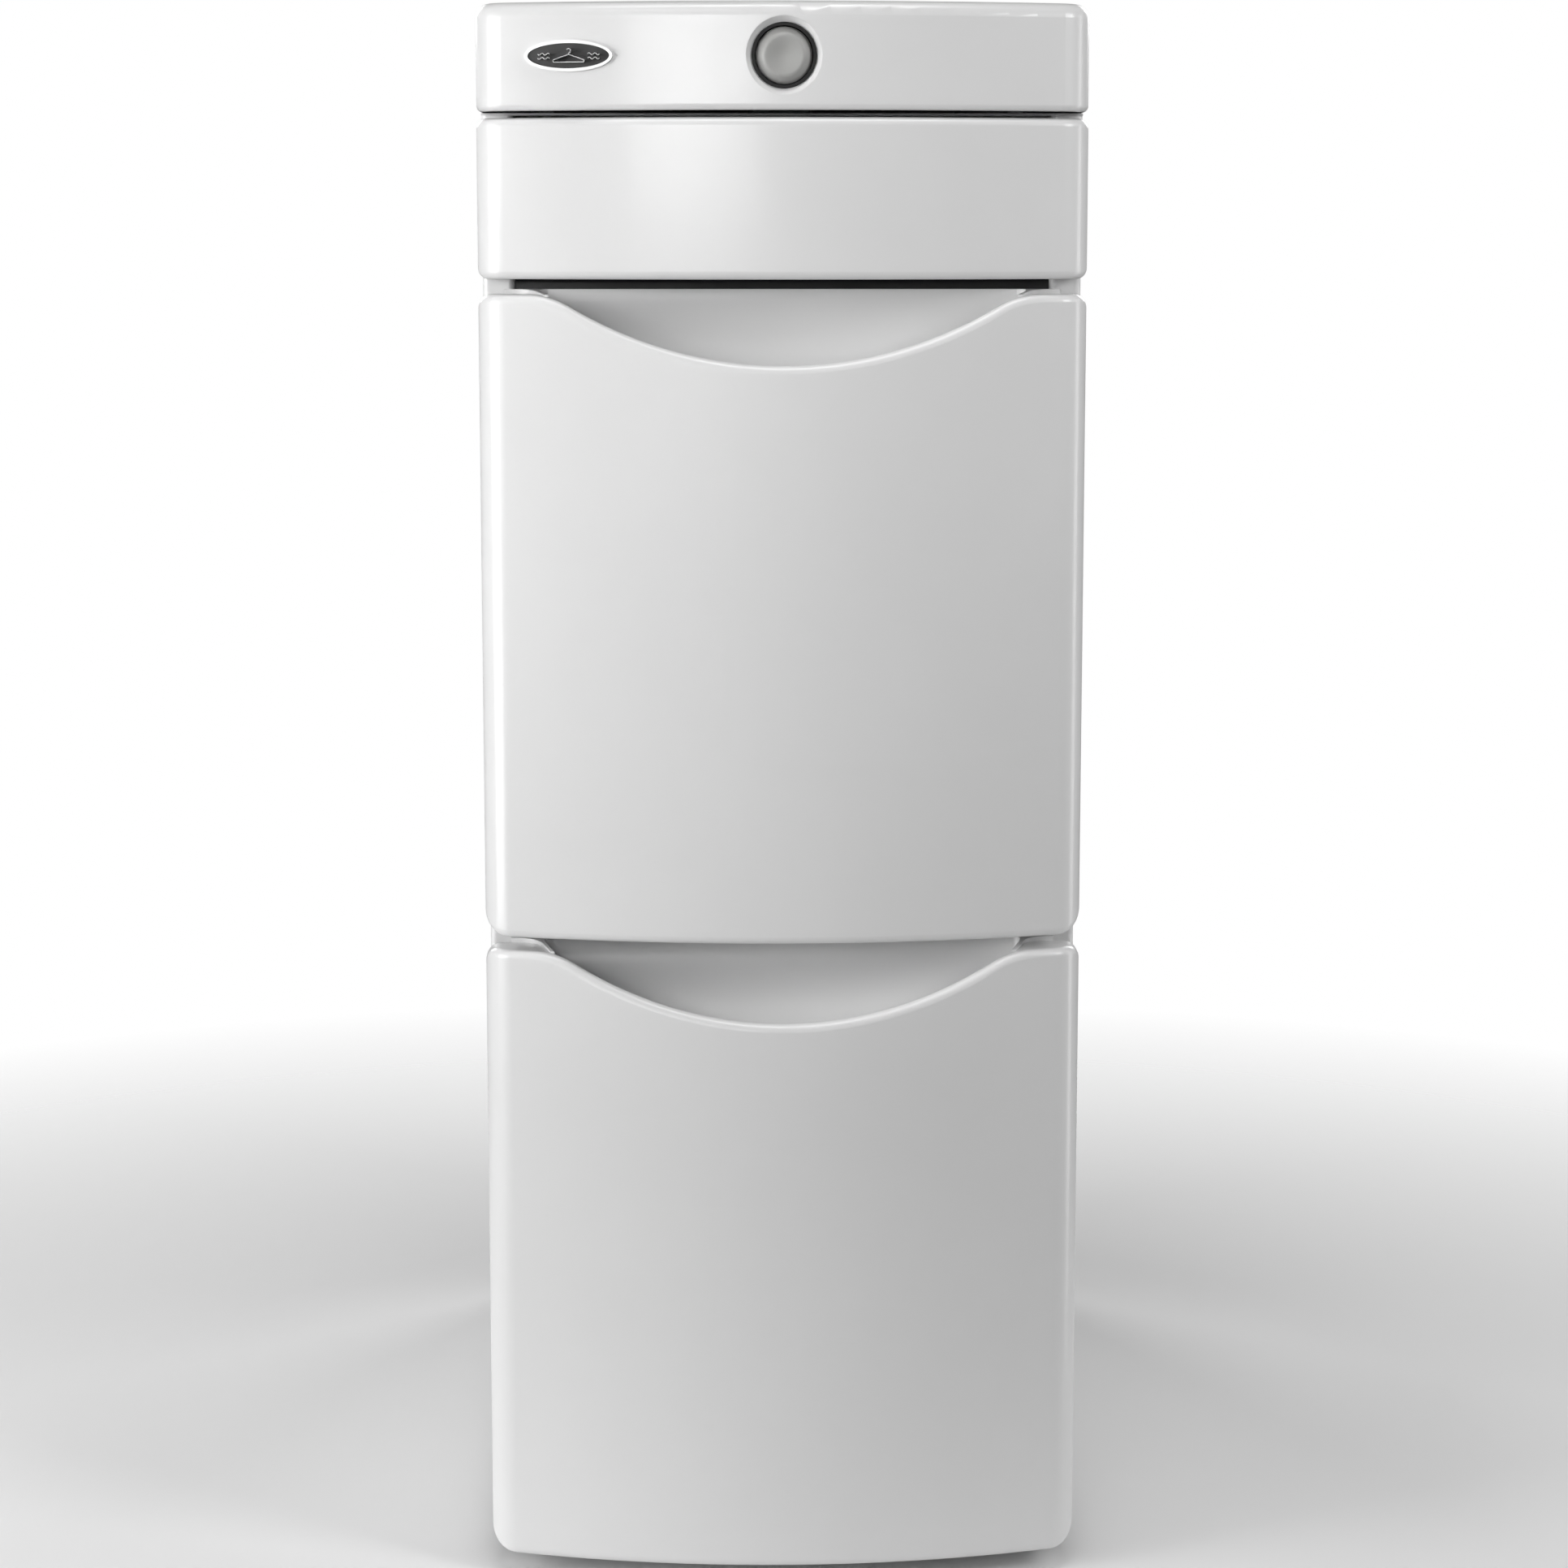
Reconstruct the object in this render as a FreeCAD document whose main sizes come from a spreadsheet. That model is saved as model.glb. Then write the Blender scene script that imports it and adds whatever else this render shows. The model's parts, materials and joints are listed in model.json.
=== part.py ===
import FreeCAD, Part
import os
import Sketcher

# Laundry storage tower: a narrow cabinet with a shallow drawer, two deep pull-out bins and, in its
# cap, a garment hanging rod that pulls out by its knob. Millimetres. +Z is up, the front faces -Y,
# and the origin is on the floor below the middle of the cabinet.

DIMENSIONS = [
    # overall
    ("overall_depth", 700), ("front_width", 381), ("cabinet_inset", 2),
    ("bow_rise", 49.4), ("front_corner_radius", 24), ("front_side_ease", 0.3),
    # heights of the fronts and the gaps between them, from the floor up
    ("floor_gap", 14), ("lower_front_height", 401), ("middle_gap", 8.5),
    ("upper_front_height", 406), ("drawer_gap", 9.5), ("drawer_front_height", 98.5),
    ("cap_gap", 4), ("cap_height", 66),
    # moulded fronts
    ("front_depth", 56), ("skin", 2.5), ("front_edge_round", 5),
    ("bin_low_round", 16), ("bin_high_round", 9), ("drawer_round", 7), ("moulding_clearance", 0.3),
    # finger scoop in the top edge of a bin front, and the bowl behind it
    ("scoop_drop", 43.5), ("scoop_margin", 31.6), ("scoop_shoulder_radius", 50), ("lip_depth", 6),
    ("bowl_lead", 6), ("bowl_margin", 35), ("bowl_splay", 19.8), ("bowl_corner", 6),
    ("bowl_wall", 2.5), ("bowl_root_radius", 18), ("bowl_root_height", 12), ("rim_rise", 3),
    ("rim_fall", 5), ("bowl_web_bite", 2.25),
    # inner panels, and the screws that hold the fronts to them
    ("inner_panel_margin", 15.5), ("inner_panel_gauge", 3),
    ("front_boss_radius", 5), ("front_boss_margin", 35), ("front_boss_low", 60),
    ("front_boss_high", 95), ("drawer_boss_low", 26), ("drawer_boss_high", 36),
    # cabinet sheet metal
    ("sheet_gauge", 1.5), ("sheet_bend", 2.5), ("front_flange", 20), ("front_lip", 26),
    ("rear_flange", 20), ("bumper_gap", 2), ("side_low", 18), ("back_reveal", 2),
    ("back_panel_low", 20), ("back_panel_drop", 2), ("back_panel_inset", 1),
    ("base_pan_low", 30), ("base_pan_flange", 30), ("deck_stiffener_height", 16),
    ("deck_stiffener_foot", 14), ("deck_stiffener_setback", 28),
    ("front_rail_setback", 5), ("front_rail_depth", 40), ("front_rail_clearance", 1.5),
    ("upright_depth", 40), ("upright_setback", 18), ("upright_headroom", 2),
    ("strap_hole_radius", 2.5), ("strap_hole_spacing", 200), ("strap_hole_drop", 60),
    # boxes behind the fronts
    ("box_gauge", 1.2), ("box_bend", 1.5), ("box_rear_gap", 77.5), ("box_hem", 12), ("box_drop", 12),
    ("box_back_flange", 18), ("lower_box_lift", 46), ("upper_box_lift", 8.5),
    ("tray_wall", 2), ("tray_lift", 3), ("tray_drop", 22.5),
    # ball-bearing slides
    ("slide_rear_gap", 6), ("slide_thickness", 12.7), ("slide_setback", 2), ("slide_gauge", 1.2),
    ("slide_bend", 1), ("slide_fixed_half", 22.5), ("slide_step", 2.8), ("slide_lip_gap", 1.2),
    ("slide_middle_back", 2.2), ("slide_inner_lip", 4.4),
    ("bin_slide_lift", 150), ("drawer_slide_lift", 37),
    # cap
    ("cap_wall", 3), ("cap_top_round", 9), ("cap_low_round", 4), ("cap_rear_round", 12),
    ("cap_post_radius", 5), ("cap_post_margin", 38.5), ("cap_post_front", 112),
    ("cap_post_rear", 60), ("cap_post_bite", 0.5),
    # hanging rod in the cap
    ("rod_radius", 8), ("rod_wall", 1.5), ("rod_length", 398), ("rod_glide_gap", 0.5),
    ("rod_middle_wall", 1.5), ("rod_middle_setback", 46), ("rod_middle_length", 400),
    ("rod_guide_wall", 2), ("rod_guide_setback", 52), ("rod_guide_length", 420),
    ("rod_bracket_gauge", 3), ("rod_bracket_half", 18), ("rod_bracket_foot", 16),
    ("rod_bracket_front", 32), ("rod_bracket_rear", 42), ("rod_bracket_head", 4),
    ("latch_length", 34), ("latch_half", 15), ("latch_plunger_radius", 5), ("push_travel", 3),
    ("push_clearance", 0.6),
    # knob on the rod and the ring round it
    ("knob_radius", 17.4), ("knob_ridge_radius", 12.2), ("knob_dish_depth", 1.8),
    ("knob_chamfer_depth", 3.2), ("knob_setback", 0.4), ("knob_length", 13),
    ("knob_socket_depth", 11), ("knob_edge_round", 1.2),
    ("knob_ring_gap", 0.5), ("ring_wall", 2.1), ("ring_setback", 3.4),
    ("ring_length", 14), ("ring_flange_width", 4), ("ring_flange_gauge", 2),
    ("recess_depth", 4), ("recess_floor_width", 0.5), ("recess_slope_width", 3.2),
    ("knob_boss_width", 3), ("knob_boss_depth", 9),
    # oval badge on the cap
    ("badge_margin", 59), ("badge_half_width", 27.75), ("badge_half_height", 9.5),
    ("badge_bezel_wall", 1.9), ("badge_bezel_proud", 2.4), ("badge_plate_proud", 1.4),
    # fasteners, bumpers and feet
    ("screw_radius", 1.75), ("screw_head_radius", 3.5), ("screw_head_height", 1.8),
    ("screw_length", 10), ("screw_clearance", 0.05), ("bumper_radius", 3), ("bumper_height", 1.7),
    ("bumper_margin", 30), ("back_screw_margin", 40), ("boss_hole_spare", 1),
    ("foot_margin", 38.5), ("foot_front", 110), ("foot_rear", 40), ("foot_stud_radius", 5),
    ("foot_pad_radius", 16), ("foot_pad_height", 9), ("foot_pad_round", 2), ("foot_stud_top", 56),
    ("foot_nut_radius", 8.5), ("foot_nut_height", 6), ("foot_thread_clearance", 0.1),
    # how far a cutting shape passes the face that it cuts
    ("overcut", 1),
]
BACK_SCREW_ROWS = 4
TINY = 1e-6

doc = FreeCAD.newDocument("laundry_tower")
sheet = doc.addObject("Spreadsheet::Sheet", "dims")
for row, (alias, value) in enumerate(DIMENSIONS, start=1):
    sheet.set(f"A{row}", alias)
    sheet.set(f"B{row}", str(value))
    sheet.setAlias(f"B{row}", alias)
doc.recompute()

nodes = {}


def num(expression):
    """The present value of an expression over the sheet."""
    value = sheet.evalExpression(expression)
    return float(getattr(value, "Value", value))


def node(name, feature):
    """Registers a finished sub-part under its name."""
    feature.Label = name
    nodes[name] = feature
    return feature


# ---- levels and planes, as expressions -------------------------------------------------------

LOWER_LOW = "dims.floor_gap"
LOWER_HIGH = "(dims.floor_gap + dims.lower_front_height)"
UPPER_LOW = f"({LOWER_HIGH} + dims.middle_gap)"
UPPER_HIGH = f"({UPPER_LOW} + dims.upper_front_height)"
DRAWER_LOW = f"({UPPER_HIGH} + dims.drawer_gap)"
DRAWER_HIGH = f"({DRAWER_LOW} + dims.drawer_front_height)"
CAP_LOW = f"({DRAWER_HIGH} + dims.cap_gap)"
CAP_HIGH = f"({CAP_LOW} + dims.cap_height)"
ROD_LEVEL = f"({CAP_LOW} + dims.cap_height / 2)"
SIDE_TOP = f"({CAP_LOW} - dims.sheet_gauge)"
PAN_TOP = "(dims.base_pan_low + dims.sheet_gauge)"

HALF_FRONT = "(dims.front_width / 2)"
CORNER_CENTRE = f"({HALF_FRONT} - dims.front_corner_radius)"
# the bow's radius, from how far it stands ahead of the centres of its corners
BOW_RADIUS = (f"(({CORNER_CENTRE}^2 + dims.bow_rise^2 - dims.front_corner_radius^2)"
              " / (2 * (dims.bow_rise - dims.front_corner_radius)))")

FRONT = "(-dims.overall_depth / 2)"
REAR = "(dims.overall_depth / 2)"
PANEL_FRONT = f"({FRONT} + dims.front_depth)"
PANEL_BACK = f"({PANEL_FRONT} + dims.inner_panel_gauge)"
CABINET_FRONT = f"({PANEL_BACK} + dims.bumper_gap)"
LIP_BACK = f"({CABINET_FRONT} + dims.front_lip)"
BOW_CENTRE = f"({FRONT} + {BOW_RADIUS})"
BACK_FACE = f"({REAR} - dims.back_reveal)"
SIDE_REAR = f"({BACK_FACE} - dims.sheet_gauge)"
BOX_BACK = f"({SIDE_REAR} - dims.box_rear_gap)"

HALF_PANEL = f"({HALF_FRONT} - dims.inner_panel_margin)"
HALF_CABINET = f"({HALF_FRONT} - dims.cabinet_inset)"
HALF_INSIDE = f"({HALF_CABINET} - dims.sheet_gauge)"
SLIDE_WALL = f"({HALF_CABINET} - dims.front_flange)"
HALF_BOX = f"({SLIDE_WALL} - dims.slide_thickness)"

ROD_MIDDLE_BORE = "(dims.rod_radius + dims.rod_glide_gap)"
ROD_MIDDLE_RADIUS = f"({ROD_MIDDLE_BORE} + dims.rod_middle_wall)"
ROD_GUIDE_BORE = f"({ROD_MIDDLE_RADIUS} + dims.rod_glide_gap)"
ROD_GUIDE_RADIUS = f"({ROD_GUIDE_BORE} + dims.rod_guide_wall)"
ROD_GUIDE_START = f"({FRONT} + dims.rod_guide_setback)"
ROD_GUIDE_END = f"({ROD_GUIDE_START} + dims.rod_guide_length)"
RING_BORE = "(dims.knob_radius + dims.knob_ring_gap)"
RING_RADIUS = f"({RING_BORE} + dims.ring_wall)"
RING_FLANGE_RADIUS = f"({RING_RADIUS} + dims.ring_flange_width)"
RECESS_FLOOR_RADIUS = f"({RING_RADIUS} + dims.recess_floor_width)"


# ---- building blocks -------------------------------------------------------------------------

def block(name, x, y, z):
    """A box between two expressions along each axis."""
    feature = doc.addObject("Part::Box", name)
    for size, axis, (low, high) in zip(("Length", "Width", "Height"), "xyz", (x, y, z)):
        feature.setExpression(size, f"({high}) - ({low})")
        feature.setExpression(f"Placement.Base.{axis}", low)
    return feature


AXIS_TURNS = {
    "x": FreeCAD.Rotation(FreeCAD.Vector(0, 1, 0), 90),
    "y": FreeCAD.Rotation(FreeCAD.Vector(1, 0, 0), -90),
    "z": FreeCAD.Rotation(),
}


def turn_and_place(feature, axis, base):
    """Points a round primitive along an axis and puts its base centre at three expressions."""
    feature.Placement = FreeCAD.Placement(FreeCAD.Vector(), AXIS_TURNS[axis])
    for direction, expression in zip("xyz", base):
        feature.setExpression(f"Placement.Base.{direction}", expression)
    return feature


def cylinder(name, axis, base, length, radius):
    feature = doc.addObject("Part::Cylinder", name)
    feature.setExpression("Radius", radius)
    feature.setExpression("Height", length)
    return turn_and_place(feature, axis, base)


def cone(name, axis, base, length, base_radius, end_radius):
    feature = doc.addObject("Part::Cone", name)
    feature.setExpression("Radius1", base_radius)
    feature.setExpression("Radius2", end_radius)
    feature.setExpression("Height", length)
    return turn_and_place(feature, axis, base)


def cut(name, base, tool):
    feature = doc.addObject("Part::Cut", name)
    feature.Base = base
    feature.Tool = tool
    return feature


def fuse(name, *pieces):
    feature = doc.addObject("Part::MultiFuse", name)
    feature.Shapes = list(pieces)
    return feature


def common(name, *pieces):
    feature = doc.addObject("Part::MultiCommon", name)
    feature.Shapes = list(pieces)
    return feature


def group(name, pieces):
    """Separate solids kept together as one feature."""
    feature = doc.addObject("Part::Compound", name)
    feature.Links = list(pieces)
    return feature


def mirrored_copy(name, source):
    """The same piece on the other side of the cabinet."""
    feature = doc.addObject("Part::Mirroring", name)
    feature.Source = source
    feature.Base = FreeCAD.Vector()
    feature.Normal = FreeCAD.Vector(1, 0, 0)
    return feature


def both_sides(name, source):
    """Registers a right-hand piece and its mirrored left-hand one."""
    node(f"{name}_right", source)
    node(f"{name}_left", mirrored_copy(f"{name}_left", source))


# ---- sketches --------------------------------------------------------------------------------
# An outline is a list of corners. A corner (x, y) is joined to the next by a line, and a corner
# (x, y, radius, turn) by an arc shorter than a half circle, which turns left (1) or right (-1).

def arc_between(start, end, radius, turn):
    """The arc's circle, and its angles counter-clockwise."""
    chord = end - start
    rise = (radius ** 2 - (chord.Length / 2) ** 2) ** 0.5
    left = FreeCAD.Vector(-chord.y, chord.x, 0).normalize()
    centre = (start + end) / 2 + left * (rise * turn)
    circle = Part.Circle(centre, FreeCAD.Vector(0, 0, 1), radius)
    angles = [circle.parameter(start), circle.parameter(end)]
    if turn < 0:
        angles.reverse()
    return Part.ArcOfCircle(circle, *angles)


def outline_sketch(body, plane, outline, offsets):
    """A closed outline on one of the body's origin planes, bound to the sheet corner by corner."""
    sketch = body.newObject("Sketcher::SketchObject", f"{body.Name}_outline")
    support = next(part for part in body.Origin.OriginFeatures if part.Role == plane)
    sketch.AttachmentSupport = [(support, "")]
    sketch.MapMode = "FlatFace"
    for axis, expression in offsets.items():
        sketch.setExpression(f"AttachmentOffset.Base.{axis}", expression)
    corners = [FreeCAD.Vector(num(corner[0]), num(corner[1]), 0) for corner in outline]
    ends = []
    for index, corner in enumerate(outline):
        start, end = corners[index], corners[(index + 1) % len(corners)]
        if len(corner) == 2:
            sketch.addGeometry(Part.LineSegment(start, end), False)
            ends.append((1, 2))
            continue
        radius, turn = corner[2:]
        sketch.addGeometry(arc_between(start, end, num(radius), turn), False)
        ends.append((1, 2) if turn > 0 else (2, 1))
        held = sketch.addConstraint(Sketcher.Constraint("Radius", index, num(radius)))
        sketch.setExpression(f"Constraints[{held}]", radius)
    for index, corner in enumerate(outline):
        after = (index + 1) % len(outline)
        sketch.addConstraint(
            Sketcher.Constraint("Coincident", index, ends[index][1], after, ends[after][0]))
        for kind, expression in zip(("DistanceX", "DistanceY"), corner):
            held = sketch.addConstraint(
                Sketcher.Constraint(kind, -1, 1, index, ends[index][0], num(expression)))
            sketch.setExpression(f"Constraints[{held}]", expression)
    return sketch


def new_body(name):
    return doc.addObject("PartDesign::Body", name)


def plane_offset(plane, low, high):
    """Sketch offset that makes a pad run from low to high, as XZ sketches face -Y."""
    return {"z": f"-({high})" if plane == "XZ_Plane" else low}


def prism(name, plane, outline, low, high):
    """An outline padded between two expressions along its plane's normal."""
    body = new_body(name)
    sketch = outline_sketch(body, plane, outline, plane_offset(plane, low, high))
    pad = body.newObject("PartDesign::Pad", f"{name}_pad")
    pad.Profile = sketch
    pad.setExpression("Length", f"({high}) - ({low})")
    return body


def revolved(name, plane, outline, offsets, angle=360, backwards=False):
    """An outline turned about its sketch's horizontal axis."""
    body = new_body(name)
    sketch = outline_sketch(body, plane, outline, offsets)
    turn = body.newObject("PartDesign::Revolution", f"{name}_turn")
    turn.Profile = sketch
    turn.ReferenceAxis = (sketch, ["H_Axis"])
    turn.Angle = angle
    turn.Reversed = backwards
    return body


def round_edges(body, label, radius, chosen):
    """Rounds those edges of the body for which chosen(edge) is true."""
    doc.recompute()
    feature = body.Tip
    names = [f"Edge{i}" for i, edge in enumerate(feature.Shape.Edges, start=1) if chosen(edge)]
    fillet = body.newObject("PartDesign::Fillet", f"{body.Name}_{label}")
    fillet.Base = (feature, names)
    fillet.setExpression("Radius", radius)
    body.Tip = fillet
    return body


def mirrored(half, closing=()):
    """A closed outline from the half with x above 0, listed from its last joint to its first.

    The corner that ends the half is joined straight across the middle unless it has an arc, and
    closing gives the arc, if any, that joins the mirrored first corner to the first one.
    """
    left = []
    for index in range(len(half) - 1, -1, -1):
        bend = tuple(half[index - 1][2:]) if index else tuple(closing)
        left.append((f"-({half[index][0]})", half[index][1]) + bend)
    return list(half) + left


def plus(expression, *terms):
    """Adds multiples of expressions, leaving out those whose multiple is 0."""
    parts = [f"({expression})"]
    parts += [f"{times:+d} * ({term})" for times, term in terms if times]
    return " ".join(parts)


def folded(name, plane, path, gauge, bend, low, high):
    """Bent sheet along a path of straight runs at right angles, the sheet on the path's left."""
    corners = [(num(x), num(y)) for x, y in path]
    runs = []
    for (x0, y0), (x1, y1) in zip(corners, corners[1:]):
        runs.append((round((x1 - x0) / abs(x1 - x0)) if abs(x1 - x0) > TINY else 0,
                     round((y1 - y0) / abs(y1 - y0)) if abs(y1 - y0) > TINY else 0))
    lefts = [(-dy, dx) for dx, dy in runs]
    wide = f"({bend} + {gauge})"
    near = [path[0]]
    far = [tuple(plus(c, (k, gauge)) for c, k in zip(path[0], lefts[0]))]
    for corner, before, after in zip(path[1:-1], range(len(runs)), range(1, len(runs))):
        turn = runs[before][0] * runs[after][1] - runs[before][1] * runs[after][0]
        near_bend, far_bend = (wide, bend) if turn > 0 else (bend, wide)
        shifted = [plus(c, (a, gauge), (b, gauge))
                   for c, a, b in zip(corner, lefts[before], lefts[after])]
        for line, place, radius in ((near, corner, near_bend), (far, shifted, far_bend)):
            line.append(tuple(plus(c, (-k, radius)) for c, k in zip(place, runs[before]))
                        + (radius, turn))
            line.append(tuple(plus(c, (k, radius)) for c, k in zip(place, runs[after])))
    near.append(path[-1])
    far.append(tuple(plus(c, (k, gauge)) for c, k in zip(path[-1], lefts[-1])))
    back = []
    for index in range(len(far) - 1, -1, -1):
        bend_into = far[index - 1][2:] if index else ()
        arc = (bend_into[0], -bend_into[1]) if bend_into else ()
        back.append(tuple(far[index][:2]) + arc)
    return prism(name, plane, near + back, low, high)


def screw(name, axis, seat, point):
    """A pan-head screw: point is 1 when it points along +axis and -1 when it points back."""
    away = "xyz".index(axis)
    head_base = list(seat)
    shank_base = list(seat)
    low_part, other = (head_base, "dims.screw_head_height") if point > 0 else (
        shank_base, "dims.screw_length")
    low_part[away] = f"({seat[away]}) - {other}"
    head = cylinder(f"{name}_head", axis, head_base, "dims.screw_head_height",
                    "dims.screw_head_radius")
    shank = cylinder(f"{name}_shank", axis, shank_base, "dims.screw_length", "dims.screw_radius")
    return fuse(name, head, shank)


SCREW_HOLE = "(dims.screw_radius + dims.screw_clearance)"


def drilled(name, target, axis, centres, radius, low, high):
    """The target with a round hole along an axis at each centre, between low and high."""
    away = "xyz".index(axis)
    tools = []
    for index, centre in enumerate(centres):
        base = list(centre)
        base.insert(away, low)
        tools.append(cylinder(f"{name}_hole_{index}", axis, base, f"({high}) - ({low})", radius))
    return cut(name, target, group(f"{name}_holes", tools))


# ---- the bowed front shape shared by the fronts and the cap ------------------------------------

def bowed_outline(inset, back, rear_round=None, spread="0"):
    """Plan of a front: a wide arc with rounded corners, moved inwards by inset.

    With a spread the corners stand further out, so that a front's upright sides cut them off.
    """
    half = f"({HALF_FRONT} + {spread} - {inset})"
    bow = f"({BOW_RADIUS} - {inset})"
    corner = f"(dims.front_corner_radius - {inset})"
    centre_x = f"({CORNER_CENTRE} + {spread})"
    reach = f"({BOW_RADIUS} - dims.front_corner_radius)"
    centre_y = f"({BOW_CENTRE} - sqrt({reach}^2 - {centre_x}^2))"
    tangent_x = f"({centre_x} * {bow} / {reach})"
    tangent_y = f"({BOW_CENTRE} - sqrt({bow}^2 - {tangent_x}^2))"
    plan = [(tangent_x, tangent_y, corner, 1), (half, centre_y)]
    if rear_round is None:
        plan += [(half, back)]
    else:
        plan += [(half, f"{back} - {rear_round}", rear_round, 1), (f"{half} - {rear_round}", back)]
    return mirrored(plan, closing=(bow, 1))


CORNER_BACK = num(bowed_outline("0", PANEL_FRONT)[1][1])

SCOOP_HALF = f"({HALF_FRONT} - dims.scoop_margin)"
SCOOP_CENTRES = f"(({SCOOP_HALF}^2 + dims.scoop_drop^2) / (2 * dims.scoop_drop))"
SCOOP_RADIUS = f"({SCOOP_CENTRES} - dims.scoop_shoulder_radius)"
SCOOP_COSINE = f"(1 - dims.scoop_drop / {SCOOP_CENTRES})"
SCOOP_SINE = f"sqrt(1 - {SCOOP_COSINE}^2)"


def front_outline(low, high, low_round, high_round, scooped, inset):
    """Front view of a moulded front, moved inwards by inset, with or without the finger scoop."""
    half = f"({HALF_FRONT} - {inset})"
    low_edge = f"({low} + {inset})"
    high_edge = f"({high} - {inset})"
    low_bend = f"({low_round} - {inset})"
    high_bend = f"({high_round} - {inset})"
    face = [
        (f"{half} - {low_bend}", low_edge, low_bend, 1),
        (half, f"{low_edge} + {low_bend}"),
        (half, f"{high_edge} - {high_bend}", high_bend, 1),
        (f"{half} - {high_bend}", high_edge),
    ]
    if scooped:
        shoulder = f"(dims.scoop_shoulder_radius - {inset})"
        valley = f"({SCOOP_RADIUS} + {inset})"
        face += [
            (f"{SCOOP_CENTRES} * {SCOOP_SINE}", high_edge, shoulder, 1),
            (f"{valley} * {SCOOP_SINE}", f"{high_edge} - {shoulder} * (1 - {SCOOP_COSINE})",
             valley, -1),
        ]
    return mirrored(face)


def on_front_rim(edge):
    """True for the edges round the face of a front, which are ahead of its straight sides."""
    middle = edge.valueAt((edge.FirstParameter + edge.LastParameter) / 2)
    step = edge.Vertexes[-1].Point - edge.Vertexes[0].Point
    inside = abs(middle.x) < num(HALF_FRONT) - TINY
    seam = inside and abs(step.x) < TINY and abs(step.y) < TINY
    front_to_back = abs(step.x) < TINY and abs(step.z) < TINY
    return middle.y < CORNER_BACK - TINY and not seam and not front_to_back


def bowed_face(name, outline, inset, back, low, high):
    """A bowed block with the given front view."""
    plan = bowed_outline(inset, back, spread="dims.front_side_ease")
    body = prism(name, "XY_Plane", plan, low, high)
    view = prism(f"{name}_view", "XZ_Plane", outline, f"{FRONT} - dims.front_depth", back)
    trim = body.newObject("PartDesign::Boolean", f"{name}_trim")
    trim.setObjects([view])
    trim.Type = "Common"
    body.Tip = trim
    return body


# ---- moulded fronts ----------------------------------------------------------------------------

def hollow_front(name, low, high, low_round, high_round, scooped):
    """The moulded shell of a front, open at the back."""
    outer = bowed_face(f"{name}_outer",
                       front_outline(low, high, low_round, high_round, scooped, "0"),
                       "0", PANEL_FRONT, low, high)
    round_edges(outer, "rim", "dims.front_edge_round", on_front_rim)
    inner = bowed_face(f"{name}_inner",
                       front_outline(low, high, low_round, high_round, scooped, "dims.skin"),
                       "dims.skin", f"({PANEL_FRONT} + dims.overcut)", low, high)
    return outer, cut(f"{name}_shell", outer, inner)


def front_bosses(name, outer, centres):
    """Posts inside a front, from its skin to the inner panel, that its screws bite into."""
    posts = []
    for index, (x, z) in enumerate(centres):
        posts.append(cylinder(f"{name}_boss_{index}", "y", (x, FRONT, z),
                              "dims.front_depth", "dims.front_boss_radius"))
    return common(f"{name}_bosses", outer, group(f"{name}_posts", posts))


def boss_centres(low_level, high_level):
    side = f"({HALF_PANEL} - dims.front_boss_margin)"
    return [(x, z) for z in (low_level, high_level) for x in (f"-{side}", side)]


def front_screws(name, centres, seat):
    """Screws through an inner panel into the bosses, their heads behind the panel."""
    return group(name, [screw(f"{name}_{index}", "y", (x, seat, z), -1)
                        for index, (x, z) in enumerate(centres)])


def finished_front(name, outer, shell, bosses, centres):
    body = fuse(f"{name}_with_bosses", shell, bosses)
    pilot = "(dims.screw_length + dims.boss_hole_spare)"
    return drilled(name, body, "y", centres, SCREW_HOLE,
                   f"{PANEL_FRONT} - {pilot}", f"{PANEL_FRONT} + dims.overcut")


# ---- scoop bowl --------------------------------------------------------------------------------

BOWL_REACH = "(dims.front_depth + dims.bowl_lead)"
BOWL_AXIS_HALF = f"({HALF_FRONT} - dims.bowl_margin - dims.bowl_splay)"
BOWL_TILT = f"atan(dims.bowl_splay / {BOWL_REACH})"


def bowl_plan(grow):
    """Plan of the bowl, measured from the axis it is turned about, moved outwards by grow."""
    reach = f"({BOWL_REACH} + {grow})"
    axis_half = f"({BOWL_AXIS_HALF} + {grow} / cos({BOWL_TILT}))"
    back_half = f"({axis_half} + {reach} * tan({BOWL_TILT}))"
    corner = f"(dims.bowl_corner + {grow})"
    tangent = f"({corner} / tan((90 deg - {BOWL_TILT}) / 2))"
    return mirrored([
        (axis_half, "0"),
        (f"{back_half} - {tangent} * sin({BOWL_TILT})", f"{reach} - {tangent} * cos({BOWL_TILT})",
         corner, 1),
        (f"{back_half} - {tangent}", reach),
    ])


def bowl_solid(name, rim, grow):
    """A quarter turn of the bowl's plan, from the rim downwards."""
    offsets = {"y": f"{FRONT} - dims.bowl_lead", "z": rim}
    return revolved(name, "XY_Plane", bowl_plan(grow), offsets, angle=90, backwards=True)


def root_outline(grow):
    """The end of a bowl's plan, on the right, where a rounded web joins it to the inner panel.

    It gives the web's start on the end wall, with its arc, and its end on the panel's front.
    """
    wall = f"(dims.bowl_wall + {grow})"
    radius = f"(dims.bowl_root_radius - {grow})"
    reach = f"({BOWL_REACH} - {grow})"
    vertex_x = f"({BOWL_AXIS_HALF} + {wall} / cos({BOWL_TILT}) + {reach} * tan({BOWL_TILT}))"
    vertex_y = f"({PANEL_FRONT} - {grow})"
    tangent = f"({radius} / tan((90 deg + {BOWL_TILT}) / 2))"
    return [
        (f"({vertex_x} - {tangent} * sin({BOWL_TILT}))",
         f"({vertex_y} - {tangent} * cos({BOWL_TILT}))", radius, -1),
        (f"({vertex_x} + {tangent})", vertex_y),
    ]


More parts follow.
